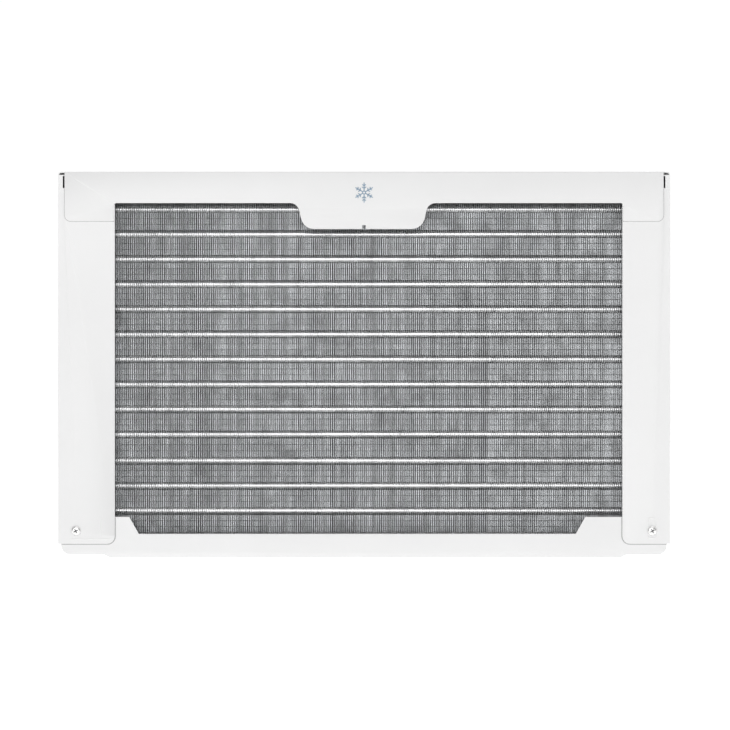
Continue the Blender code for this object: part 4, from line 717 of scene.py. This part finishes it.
def fin_stack(span, depth, height, settings, outer_edge, seed):
    """Corrugated fins: offset = A (-1)^k at station k across the coil, level along the outer edge."""
    count = int(round((span[1] - span[0]) / settings.fin_pitch)) + 1
    random = np.random.default_rng(seed)
    stations = 9
    margin = settings.fin_margin / (depth[1] - depth[0])
    share = np.concatenate([[0.0], np.linspace(margin, 1.0, stations - 1)])
    start, end = (depth[1], depth[0]) if outer_edge > 0 else (depth[0], depth[1])
    y = start + (end - start) * share
    wave = settings.fin_wave * np.array([0, 0, 1, -1, 1, -1, 1, -1, 0])
    levels = np.array([height[0], (height[0] + height[1]) / 2, height[1]])
    drift = np.cumsum(random.normal(0, 1, count + 16))
    drift = np.convolve(drift, np.hanning(9) / np.hanning(9).sum(), "same")[8:-8]
    drift = 0.00022 * np.sin(drift * 1.4)
    jitter = random.normal(0, 0.00007, (count, 3, 1))
    edge = np.exp(-share * 9)[None, None, :]
    x = np.linspace(span[0] + 0.0004, span[1] - 0.0004, count)[:, None, None]
    x = x + wave[None, None, :] + (drift[:, None, None] + jitter) * edge
    half = settings.fin_gauge / 2
    ring_x = np.concatenate([x + half, (x - half)[..., ::-1]], -1)
    ring_y = np.concatenate([y, y[::-1]])[None, None, :]
    points = placed("Z", ring_x, ring_y, levels[None, :, None])
    ring = 2 * stations
    walls = np.array(lattice(3, ring, close_columns=True))
    k = np.arange(stations - 1)
    cap = np.stack([k, k + 1, ring - 2 - k, ring - 1 - k], -1)
    one = np.concatenate([walls, cap, cap[:, ::-1] + 2 * ring])
    faces = one[None] + (3 * ring * np.arange(count))[:, None, None]
    return points.reshape(-1, 3), faces.reshape(-1, 4).tolist()


def fin_strips(span, face, tubes, settings, seed):
    """Slanted strips raised from each fin, in rows between the tubes: y = face - slope (x - fin)."""
    count = int(round((span[1] - span[0]) / settings.fin_pitch)) + 1
    random = np.random.default_rng(seed)
    start, rows = settings.strip_start, settings.strip_rows
    tubes = np.sort(tubes)
    rows = np.linspace(tubes[:-1] + start, tubes[1:] - start, rows + 1, axis=1)
    gap = settings.strip_gap / 2
    low = (rows[:, :-1] + gap).ravel()
    high = (rows[:, 1:] - gap).ravel()
    fins = np.linspace(span[0] + 0.0004, span[1] - 0.0004, count)[:-1, None] + 0.00005
    reach = settings.strip_width * (1 + random.normal(0, 0.03, (count - 1, 1)))
    reach = reach * (1 + random.normal(0, 0.02, (1, low.size)))
    drop = settings.strip_depth * (1 + random.normal(0, 0.08, reach.shape))
    length = np.hypot(reach, drop)
    along, back = settings.fin_gauge * drop / length, settings.fin_gauge * reach / length
    start = face - settings.fin_gauge
    x = np.stack([fins + 0 * reach, fins + reach, fins + reach + along, fins + along + 0 * reach], -1)
    y = np.stack([start + 0 * reach, start - drop, start - drop + back, start + back], -1)
    ends = np.stack([low, high])[:, None, :, None]
    plan = placed("Z", x[None], y[None], ends)
    points = np.moveaxis(plan, 0, 2).reshape(-1, 3)
    return points, box_faces(len(points) // 8)


def serpentine(tubes, low, high, steps=9):
    """Parallel tubes at (y, z), joined by half circles past both ends."""
    path, heading = [], -1
    for i, (y, z) in enumerate(tubes):
        start, end = (high, low) if heading < 0 else (low, high)
        path += [np.array([[start, y, z], [end, y, z]])]
        if i + 1 < len(tubes):
            here = np.array([end, y, z])
            there = np.array([end, *tubes[i + 1]])
            arm = (here - there) / 2
            angle = np.pi * np.arange(1, steps)[:, None] / steps
            out = np.array([[heading * np.linalg.norm(arm), 0.0, 0.0]])
            path += [(here + there) / 2 + arm * np.cos(angle) + out * np.sin(angle)]
        heading = -heading
    return np.concatenate(path)


def eased(points, bend, steps=7):
    """A route with each inner corner replaced by a curve that starts the bend length before it."""
    points = np.asarray(points, float)
    t = np.linspace(0, 1, steps)[:, None]
    route = [points[:1]]
    for before, corner, after in zip(points, points[1:], points[2:]):
        legs = []
        for other in (before, after):
            leg = other - corner
            length = np.linalg.norm(leg)
            legs.append(corner + leg / length * min(bend, length / 2.1))
        route.append(legs[0] * (1 - t) ** 2 + corner * 2 * t * (1 - t) + legs[1] * t**2)
    return np.concatenate([*route, points[-1:]])


# Front


def icon_lines(name, x, z, size):
    """The plain sign on a button, as (x, z) paths."""
    if name == "power":
        lines = [arc(0, 0, 1, 125, 415, 20), [(0, 0.35), (0, 1.15)]]
    elif name == "timer":
        lines = [arc(0, 0, 1, 0, 360, 25), [(0, 0), (0, 0.66)], [(0, 0), (0.48, 0.0)]]
    elif name == "mode":
        lines = [arc(0, 0, 0.42, 0, 360, 17)]
        ends = [[arc(0, 0, reach, a, a, 1)[0] for reach in (0.72, 1.1)] for a in range(0, 360, 60)]
        lines += [np.array(ray).tolist() for ray in ends]
    elif name == "fan_speed":
        t = np.linspace(0, np.pi, 61)
        lines = [np.stack([np.cos(3 * t) * np.cos(t), np.cos(3 * t) * np.sin(t)], -1) * 1.1]
    else:
        tip = 0.8 if name == "temp_up" else -0.8
        lines = [[(-0.85, -tip * 0.7), (0.85, -tip * 0.7), (0, tip), (-0.85, -tip * 0.7)]]
    return [np.asarray(line) * size + np.array([x, z]) for line in lines]


SEGMENTS = {
    "a": ((0.12, 1), (0.88, 1)), "b": ((1, 0.90), (1, 0.58)), "c": ((1, 0.42), (1, 0.10)),
    "d": ((0.12, 0), (0.88, 0)), "e": ((0, 0.42), (0, 0.10)), "f": ((0, 0.90), (0, 0.58)),
    "g": ((0.12, 0.5), (0.88, 0.5)),
}


def digits(centre, z, height):
    """The number 24 in bar segments, as (x, z) paths."""
    lines = []
    for left, bars in ((centre - 0.66 * height, "abged"), (centre + 0.12 * height, "fgbc")):
        for bar in bars:
            ends = np.array(SEGMENTS[bar]) * [height * 0.5, height] + [left, z - height / 2]
            lines.append(ends)
    return lines


def strands(node, border, pitch, gauge):
    """Filter cloth: upright and level square strands on either side of the frame's middle plane."""
    low, high = (np.array(corner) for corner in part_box(node))
    middle = (low[1] + high[1]) / 2
    x = np.arange(low[0] + border, high[0] - border, pitch)
    z = np.arange(low[2] + border, high[2] - border, pitch)
    upright_low = placed("Z", x, middle, low[2] + border * 0.6)
    upright_high = placed("Z", x + gauge, middle + gauge, high[2] - border * 0.6)
    level_low = placed("Z", low[0] + border * 0.6, middle - gauge * 0.9, z)
    level_high = placed("Z", high[0] - border * 0.6, middle + gauge * 0.1, z + gauge)
    return blocks(np.concatenate([upright_low, level_low]), np.concatenate([upright_high, level_high]))


# Operators


class StageOperator(bpy.types.Operator):
    """Makes the floor, the sky, the lights and the camera"""

    bl_idname = "aircon.stage"
    bl_label = "Stage"

    def execute(self, context):
        settings = context.scene.ac_studio
        half = settings.floor_size / 2
        mesh = bpy.data.meshes.new("studio_floor")
        grid = placed("Z", np.linspace(-half, half, 5)[:, None], np.linspace(-half, half, 5)[None, :], 0.0)
        mesh.from_pydata(grid.reshape(-1, 3).tolist(), [], lattice(5, 5))
        floor = bpy.data.objects.new("studio_floor", mesh)
        context.scene.collection.objects.link(floor)
        look = Finish("studio_floor", (0.55, 0.55, 0.55), 0.80)
        look.colour(look.noise(3.0), (0.545, 0.545, 0.545), (0.555, 0.555, 0.555))
        look.shader.inputs["Emission Color"].default_value = (1.0, 1.0, 1.0, 1.0)
        look.shader.inputs["Emission Strength"].default_value = 0.80
        mesh.materials.append(look.material)
        self.lights(context.scene, settings)
        camera = bpy.data.objects.new("view_camera", bpy.data.cameras.new("view_camera"))
        camera.data.sensor_width = 36.0
        camera.data.lens = settings.lens
        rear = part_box("cabinet_wrap")[1].y
        camera.location = (settings.camera_x, rear + settings.camera_reach, settings.camera_height)
        camera.rotation_euler = (math.radians(90), 0.0, math.radians(180))
        context.scene.collection.objects.link(camera)
        context.scene.camera = camera
        context.scene.view_settings.view_transform = "Standard"
        return {"FINISHED"}

    def lights(self, scene, settings):
        """White surroundings that light the object a little less than they show, and wide soft lamps."""
        world = bpy.data.worlds.new("studio")
        scene.world = world
        world.use_nodes = True
        nodes, links = world.node_tree.nodes, world.node_tree.links
        nodes["Background"].inputs["Strength"].default_value = settings.sky
        seen = nodes.new("ShaderNodeBackground")
        for background in (nodes["Background"], seen):
            background.inputs["Color"].default_value = (1.0, 1.0, 1.0, 1.0)
        seen.inputs["Strength"].default_value = 1.02
        mixer = nodes.new("ShaderNodeMixShader")
        links.new(nodes.new("ShaderNodeLightPath").outputs["Is Camera Ray"], mixer.inputs[0])
        links.new(nodes["Background"].outputs[0], mixer.inputs[1])
        links.new(seen.outputs[0], mixer.inputs[2])
        links.new(mixer.outputs[0], nodes["World Output"].inputs["Surface"])
        lamps = (
            ("rear_lamp", (0.5, 3.3, 1.0), (2.6, 1.8), settings.rear_light),
            ("room_lamp", (-1.3, -3.0, 1.3), (2.2, 1.8), settings.room_light),
            ("top_lamp", (-0.4, 0.3, 2.6), (2.4, 2.4), settings.top_light),
        )
        target = Vector((0.0, 0.0, 0.16))
        for name, place, size, power in lamps:
            lamp = bpy.data.lights.new(name, "AREA")
            lamp.shape = "RECTANGLE"
            lamp.size, lamp.size_y = size
            lamp.energy = power
            stand = bpy.data.objects.new(name, lamp)
            stand.location = place
            stand.rotation_euler = (target - Vector(place)).to_track_quat("-Z", "Y").to_euler()
            stand.visible_camera = False
            scene.collection.objects.link(stand)


class CabinetOperator(bpy.types.Operator):
    """Makes the folded cabinet, the base pan, the vent scoops, the beads, the grey lines painted as shadow
    round the tabs and under the flanges, and the badge
    """

    bl_idname = "aircon.cabinet"
    bl_label = "Cabinet"

    def execute(self, context):
        settings = context.scene.ac_cabinet
        rounded_copy("cabinet_wrap", settings.edge_round)
        rounded_copy("base_pan", settings.edge_round)
        add("vent_scoops", vent_scoops(settings), "chassis", "cabinet_paint", thickness=0.0008, smooth=50)
        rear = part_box("cabinet_wrap")[1].y
        beads = ridges(flange_beads(), rear - SHEET, 0.0011, settings.bead)
        add("flange_beads", beads, "chassis", "cabinet_paint", smooth=60)
        # Grey lines painted as the shadow in the gap round each corner tab and the shadow under each side
        # flange's lower edge
        seam = plain_mark("painted_shadow_line", (0.42, 0.42, 0.42))
        tabs = ridges(tab_shadow_lines(settings), rear - SHEET, settings.tab_shadow_width, 0.00012)
        add("tab_shadow_lines", tabs, "chassis", "cabinet_paint", seam, smooth=60)
        under = ridges(flange_shadow_lines(settings), rear - 2 * SHEET - GAP, settings.flange_shadow_width, 0.00012)
        add("flange_shadow_lines", under, "chassis", "cabinet_paint", seam, smooth=60)
        centre = np.array([0.0, CAD_HIGH.z - 0.0204])
        lines = [line + centre for line in snowflake(settings.badge)]
        look = plain_mark("badge_enamel", tuple(context.scene.ac_colours.badge))
        badge = ridges(lines, rear, 0.0009, 0.00028)
        add("snowflake_badge", badge, "chassis", "fascia_plastic", look, smooth=60)
        return {"FINISHED"}


class ScrewOperator(bpy.types.Operator):
    """Makes the two pan-head screws with their cross recesses, each with a dark cross painted as shade on its
    floor
    """

    bl_idname = "aircon.screws"
    bl_label = "Rear screws"

    def execute(self, context):
        recess = context.scene.ac_cabinet.recess
        dark = plain_mark("recess_shadow", (0.16, 0.16, 0.17))
        cos, sin = np.cos(SCREW_TURN), np.sin(SCREW_TURN)
        arms = 0.0021 * np.array([(cos, -sin), (sin, cos)])
        for node in ("rear_screw_left", "rear_screw_right"):
            stand_in(node, pan_head(node, recess), smooth=32)
            centre = np.array(centre_of(node))
            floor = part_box(node)[1].y - recess
            # A dark cross of painted shade laid on the floor of each recess
            cross = ridges([(centre - arm, centre + arm) for arm in arms], floor, 0.0010, 0.0001)
            add(f"{node}_cross", cross, "chassis", "screw_steel", dark, smooth=60)
        return {"FINISHED"}


class CondenserOperator(bpy.types.Operator):
    """Makes the outdoor coil: corrugated fins and the tube circuit"""

    bl_idname = "aircon.condenser"
    bl_label = "Condenser"

    def execute(self, context):
        s = context.scene.ac_coils
        low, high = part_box("condenser_fins")
        fins = fin_stack((low.x, high.x), (low.y, high.y), (low.z, high.z), s, 1, 11)
        stand_in("condenser_fins", fins, smooth=60)
        front = high.z - s.tube_pitch / 4 - s.tube_pitch * np.arange(s.upper_tubes)
        front = np.concatenate([front, front[-1] - s.tube_step - s.tube_pitch * np.arange(s.lower_tubes)])
        rear = front - s.tube_pitch / 2
        middle = (low.y + high.y) / 2
        rows = [(middle - 0.011, z) for z in front] + [(middle + 0.011, z) for z in rear[::-1]]
        strips = fin_strips((low.x, high.x), high.y, rear, s, 13)
        add("condenser_strips", strips, BODY["condenser_fins"], SLOT["condenser_fins"], smooth=30)
        path = serpentine(rows, low.x - 0.0021, high.x + 0.0021)
        path[0, 0] += 0.010
        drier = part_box("filter_drier")
        drop = [(drier[0].x + drier[1].x) / 2, (drier[0].y + drier[1].y) / 2, drier[1].z + 0.0003]
        tail = eased([path[-1], (drop[0], drop[1], rear[0]), drop], 0.016)
        path = np.concatenate([path[:-1], tail])
        stand_in("condenser_tubes", tube(path, s.tube_radius), smooth=50)
        return {"FINISHED"}


class EvaporatorOperator(bpy.types.Operator):
    """Makes the room-side coil: corrugated fins and the tube circuit"""

    bl_idname = "aircon.evaporator"
    bl_label = "Evaporator"

    def execute(self, context):
        s = context.scene.ac_coils
        low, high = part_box("evaporator_fins")
        fins = fin_stack((low.x, high.x), (low.y, high.y), (low.z, high.z), s, -1, 12)
        stand_in("evaporator_fins", fins, smooth=60)
        front = high.z - s.tube_pitch / 4 - s.tube_pitch * np.arange(s.room_tubes)
        middle = (low.y + high.y) / 2
        rows = [(middle - 0.011, z) for z in front]
        rows += [(middle + 0.011, z - s.tube_pitch / 2) for z in front[::-1]]
        path = serpentine(rows, low.x - 0.0021, high.x + 0.0021)
        path[0, 0] += 0.010
        path[-1, 0] += 0.010
        stand_in("evaporator_tubes", tube(path, s.tube_radius), smooth=50)
        return {"FINISHED"}


class PanelOperator(bpy.types.Operator):
    """Makes the moulded front, the grille, the louvers, the deflectors and the gland"""

    bl_idname = "aircon.front"
    bl_label = "Front"

    def execute(self, context):
        s = context.scene.ac_front
        rounded_copy("front_panel", s.panel_round)
        rounded_copy("intake_grille", s.panel_round * 0.6)
        rounded_copy("louver_link", s.vane_round)
        rounded_copy("deflector_link", s.vane_round)
        for name in ("bottom", "middle", "top"):
            rounded_copy(f"louver_{name}", s.vane_round, 3, 14)
        for k in range(6):
            rounded_copy(f"deflector_{k + 1}", s.vane_round * 0.8, 3, 14)
        low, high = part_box("cord_gland")
        r = (high.z - low.z) / 2
        centre = centre_of("cord_gland", "yz")
        outside = high.x
        ribs = [(r * 0.45, low.x), (r, low.x), (r, outside - 0.0026), (r * 0.8, outside - 0.0026)]
        ribs += [(r * 0.8, outside - 0.0009), (r * 0.72, outside - 0.0002), (r * 0.60, outside),
                 (r * 0.52, outside - 0.0006), (r * 0.45, outside - 0.0014)]
        stand_in("cord_gland", turned(ribs, centre, "X", 48, ring=True), smooth=40)
        return {"FINISHED"}


class FilterOperator(bpy.types.Operator):
    """Makes the sliding filter with its cloth of crossed strands"""

    bl_idname = "aircon.filter"
    bl_label = "Filter"

    def execute(self, context):
        s = context.scene.ac_front
        rounded_copy("air_filter", 0.0005)
        cloth = strands("air_filter", 0.010, s.mesh_pitch, s.strand)
        add("filter_cloth", cloth, "air_filter", "filter_frame")
        return {"FINISHED"}


class ControlsOperator(bpy.types.Operator):
    """Makes the fascia, the display, the buttons with their signs, the vent lever and its door"""

    bl_idname = "aircon.controls"
    bl_label = "Controls"

    def execute(self, context):
        s = context.scene.ac_front
        rounded_copy("control_fascia", 0.0004, 3)
        rounded_copy("display_lens", 0.0003, 3)
        ink = plain_mark("icon_ink", tuple(context.scene.ac_colours.icon))
        for name in ("timer", "power", "mode", "temp_down", "fan_speed", "temp_up"):
            node = f"button_{name}"
            rounded_copy(node, 0.0004, 3)
            lines = icon_lines(name, *centre_of(node), s.icon_size)
            sign = ridges(lines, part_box(node)[0].y, s.icon_line, s.icon_height)
            add(f"{name}_sign", sign, BODY[node], "button_plastic", ink, smooth=60)
        glow = plain_mark("display_glow", (0.45, 0.80, 0.95), 0.9)
        lines = digits(*centre_of("display_lens"), s.digit)
        lines = ridges(lines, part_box("display_lens")[0].y, 0.0011, 0.00008)
        add("display_digits", lines, "chassis", "lens", glow, smooth=60)
        rounded_copy("vent_lever", 0.0006, 3)
        rounded_copy("vent_door", 0.0004)
        low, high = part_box("vent_lever")
        heights = np.linspace(low.z + 0.004, high.z - 0.004, 6)
        grip = [[(low.x + 0.0022, z), (high.x - 0.0022, z)] for z in heights]
        add("lever_grip", ridges(grip, low.y, 0.0012, 0.0002), "vent_lever", "panel_plastic", smooth=60)
        return {"FINISHED"}


class RefrigerantOperator(bpy.types.Operator):
    """Makes the compressor, the accumulator, the drier, the grommets and the pipes"""

    bl_idname = "aircon.refrigerant"
    bl_label = "Refrigerant circuit"

    def execute(self, context):
        for node in ("suction_pipe", "discharge_pipe", "capillary_tube"):
            rounded_copy(node, 0.0, smooth=60, levels=1)
        for node in ("accumulator", "filter_drier", "compressor"):
            rounded_copy(node, 0.0014, 3, 20)
        for k in range(3):
            rounded_copy(f"compressor_grommet_{k + 1}", 0.0008, 2, 30)
        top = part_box("compressor")[1].z
        centre = COMPRESSOR_AXIS
        seam = [(0.0568, top - 0.040), (0.0582, top - 0.0385), (0.0582, top - 0.0345), (0.0568, top - 0.033)]
        cap = [(0.0, top + 0.010), (0.013, top + 0.010), (0.0165, top + 0.0075), (0.0175, top + 0.002),
               (0.0175, top - 0.003), (0.0, top - 0.003)]
        weld = turned(seam, centre, "Z", 56, ring=True)
        add("compressor_seam", weld, "chassis", "compressor_paint", smooth=60)
        add("terminal_cover", turned(cap, (centre[0] - 0.022, centre[1] - 0.012), "Z", 32), "chassis",
            "dark_plastic", bevel=0.0006)
        return {"FINISHED"}


def fan_blades(centre, y, inner, outer):
    """Twisted blades: y = middle + edge rise(r), angle = root + edge sweep(r), over radius and edge."""
    r = np.linspace(0.0, 1.0, 9)[:, None]
    e = np.linspace(-1.0, 1.0, 9)[None, :]
    radius = inner + (outer - inner) * r + 0 * e
    height = y + e * (0.0140 - 0.0090 * r) + 0.0012 * (1 - e**2)
    shapes = []
    for k in range(FAN_BLADES):
        angle = BLADE_TURN + 2 * np.pi * k / FAN_BLADES + e * math.radians(25) * (1 - 0.12 * r)
        shapes.append((placed("Y", centre[0] + radius * np.cos(angle), centre[1] + radius * np.sin(angle),
                              height), lattice(9, 9)))
    return gathered(shapes)


class AirOperator(bpy.types.Operator):
    """Makes the motor, the condenser fan, the blower wheel and their housings"""

    bl_idname = "aircon.air"
    bl_label = "Air movers"

    def execute(self, context):
        low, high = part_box("condenser_fan")
        centre = centre_of("condenser_fan")
        middle, outer = (low.y + high.y) / 2, (high.x - low.x) / 2
        hub = [(0.0059, low.y), (0.016, low.y), (0.024, middle - 0.010), (0.028, middle - 0.004),
               (0.028, high.y - 0.005), (0.0265, high.y - 0.002), (0.024, high.y), (0.0059, high.y)]
        stand_in("condenser_fan", turned(hub, centre, "Y", 48, ring=True), bevel=0.0005, smooth=30)
        add("fan_blades", fan_blades(centre, middle, 0.026, outer - 0.002), "rotor", "dark_plastic",
            thickness=0.0022, smooth=50)
        edge = [(0.0, 0.0062), (0.0010, 0.007), (0.0035, 0.007)]
        ring = [(outer, middle - 0.0062)] + [(outer - inset, middle + rise) for inset, rise in edge]
        ring += [(outer - inset, middle - rise) for inset, rise in edge[:0:-1]]
        add("slinger_ring", turned(ring, centre, "Y", 96, ring=True), "rotor", "dark_plastic", smooth=30)
        self.wheel(centre)
        self.motor(centre)
        rounded_copy("fan_shroud", 0.0006)
        rounded_copy("blower_scroll", 0.0006)
        rounded_copy("bulkhead", 0.0002)
        rounded_copy("motor_bracket", 0.0003)
        return {"FINISHED"}

    def wheel(self, centre):
        """Back plate and front ring joined by forty curved vanes: angle = root + lean along the vane."""
        low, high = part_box("blower_wheel")
        outer = (high.x - low.x) / 2
        back = [(0.0059, high.y), (outer, high.y), (outer, high.y - 0.003), (0.018, high.y - 0.003),
                (0.014, high.y - 0.020), (0.0059, high.y - 0.020)]
        rim = [(outer, low.y), (outer, low.y + 0.004), (outer - 0.012, low.y + 0.004), (outer - 0.012, low.y)]
        plates = gathered([turned(back, centre, "Y", 64, ring=True), turned(rim, centre, "Y", 64, ring=True)])
        stand_in("blower_wheel", plates, bevel=0.0004, smooth=30)
        r = np.linspace(0.0, 1.0, 5)[:, None]
        y = np.array([low.y + 0.002, high.y - 0.0015])[None, :]
        radius = outer - 0.0115 + 0.0110 * r
        vanes = []
        for k in range(40):
            angle = 2 * np.pi * k / 40 + 0.16 * r**2 - 0.05 * r
            across, up = centre[0] + radius * np.cos(angle), centre[1] + radius * np.sin(angle)
            vanes.append((placed("Y", across, up, y),
                          lattice(5, 2)))
        add("blower_vanes", gathered(vanes), "rotor", "dark_plastic", thickness=0.0009, smooth=50)

    def motor(self, centre):
        """Motor shell with a rolled seam: its profile carried round the shaft."""
        low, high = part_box("fan_motor")
        front, back = low.y, high.y
        r = (high.x - low.x) / 2
        shell = [(0.0058, front), (r * 0.25, front), (r * 0.25, front + 0.006), (r * 0.8, front + 0.008),
                 (r * 0.95, front + 0.012), (r, front + 0.018), (r, front + 0.038),
                 (r * 0.975, front + 0.0395),
                 (r * 0.975, front + 0.0455), (r, front + 0.047), (r, back - 0.018), (r * 0.95, back - 0.012),
                 (r * 0.8, back - 0.008), (r * 0.25, back - 0.006), (r * 0.25, back), (0.0058, back)]
        stand_in("fan_motor", turned(shell, centre, "Y", 64, ring=True), bevel=0.0005, smooth=30)


class ControlGearOperator(bpy.types.Operator):
    """Makes the control box, its board with components, and the run capacitor"""

    bl_idname = "aircon.gear"
    bl_label = "Control gear"

    def execute(self, context):
        rounded_copy("control_box", 0.0003)
        rounded_copy("control_board", 0.0002)
        low, high = (np.array(corner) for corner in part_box("control_board"))
        parts = np.array([
            (0.12, 0.12, 0.26, 0.30, 0.016), (0.34, 0.10, 0.50, 0.26, 0.012), (0.58, 0.12, 0.86, 0.22, 0.009),
            (0.12, 0.42, 0.40, 0.62, 0.018), (0.52, 0.40, 0.62, 0.50, 0.007), (0.70, 0.36, 0.88, 0.60, 0.004),
            (0.14, 0.74, 0.34, 0.90, 0.011), (0.46, 0.70, 0.86, 0.88, 0.006),
        ])
        size = high - low
        corner = placed("Z", low[0] + parts[:, 0] * size[0], low[1] + parts[:, 1] * size[1], high[2] - 0.0001)
        across, along = low[0] + parts[:, 2] * size[0], low[1] + parts[:, 3] * size[1]
        end = placed("Z", across, along, high[2] + parts[:, 4])
        add("board_components", blocks(corner, end), "chassis", "dark_plastic", bevel=0.0005)
        low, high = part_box("capacitor")
        r = (high.x - low.x) / 2
        centre = ((low.x + high.x) / 2, (low.y + high.y) / 2)
        rim = [(1.0, 0.003), (0.99, 0.0005), (0.94, 0.0), (0.90, 0.001), (0.88, 0.003), (0.0, 0.003)]
        can = [(0.0, low.z), (r * 0.95, low.z), (r, low.z + 0.001)]
        can += [(r * share, high.z - drop) for share, drop in rim]
        stand_in("capacitor", turned(can, centre, "Z", 48), smooth=35)
        tabs = blocks([[centre[0] - 0.008, centre[1] - 0.003, high.z - 0.004],
                       [centre[0] + 0.0072, centre[1] - 0.003, high.z - 0.004]],
                      [[centre[0] - 0.0072, centre[1] + 0.003, high.z + 0.006],
                       [centre[0] + 0.008, centre[1] + 0.003, high.z + 0.006]])
        add("capacitor_tabs", tabs, "chassis", "shaft_steel", bevel=0.0002)
        return {"FINISHED"}


class RemainingOperator(bpy.types.Operator):
    """Gives every CAD piece that still shows its own finish"""

    bl_idname = "aircon.remaining"
    bl_label = "Remaining finishes"

    def execute(self, context):
        for node, piece in frame["nodes"].items():
            if not piece.hide_render:
                piece.data.materials.clear()
                piece.data.materials.append(finish(SLOT[node]))
        return {"FINISHED"}


SETTINGS = {
    "ac_studio": StudioSettings,
    "ac_cabinet": CabinetSettings,
    "ac_coils": CoilSettings,
    "ac_front": FrontSettings,
    "ac_colours": ColourSettings,
}
OPERATORS = (
    StageOperator, CabinetOperator, ScrewOperator, CondenserOperator, EvaporatorOperator, PanelOperator,
    FilterOperator, ControlsOperator, RefrigerantOperator, AirOperator, ControlGearOperator,
    RemainingOperator,
)


class AirConditionerPanel(bpy.types.Panel):
    """Sizes, colours and the steps that build the air conditioner"""

    bl_idname = "VIEW3D_PT_air_conditioner"
    bl_label = "Air Conditioner"
    bl_space_type = "VIEW_3D"
    bl_region_type = "UI"
    bl_category = "Air Conditioner"

    def draw(self, context):
        for operator in OPERATORS:
            self.layout.operator(operator.bl_idname)
        for name, group in SETTINGS.items():
            column = self.layout.box().column()
            column.label(text=group.__doc__)
            for key in group.__annotations__:
                column.prop(getattr(context.scene, name), key)


def register():
    """Registers the settings, the operators and the panel."""
    for name, group in SETTINGS.items():
        bpy.utils.register_class(group)
        setattr(bpy.types.Scene, name, PointerProperty(type=group))
    for made in (*OPERATORS, AirConditionerPanel):
        bpy.utils.register_class(made)


def unregister():
    """Takes all of them away again."""
    for made in (AirConditionerPanel, *reversed(OPERATORS)):
        bpy.utils.unregister_class(made)
    for name, group in reversed(SETTINGS.items()):
        delattr(bpy.types.Scene, name)
        bpy.utils.unregister_class(group)


def main():
    """Builds the stage and every piece."""
    register()
    for operator in OPERATORS:
        getattr(bpy.ops.aircon, operator.bl_idname.split(".")[1])()


if __name__ == "__main__":
    main()
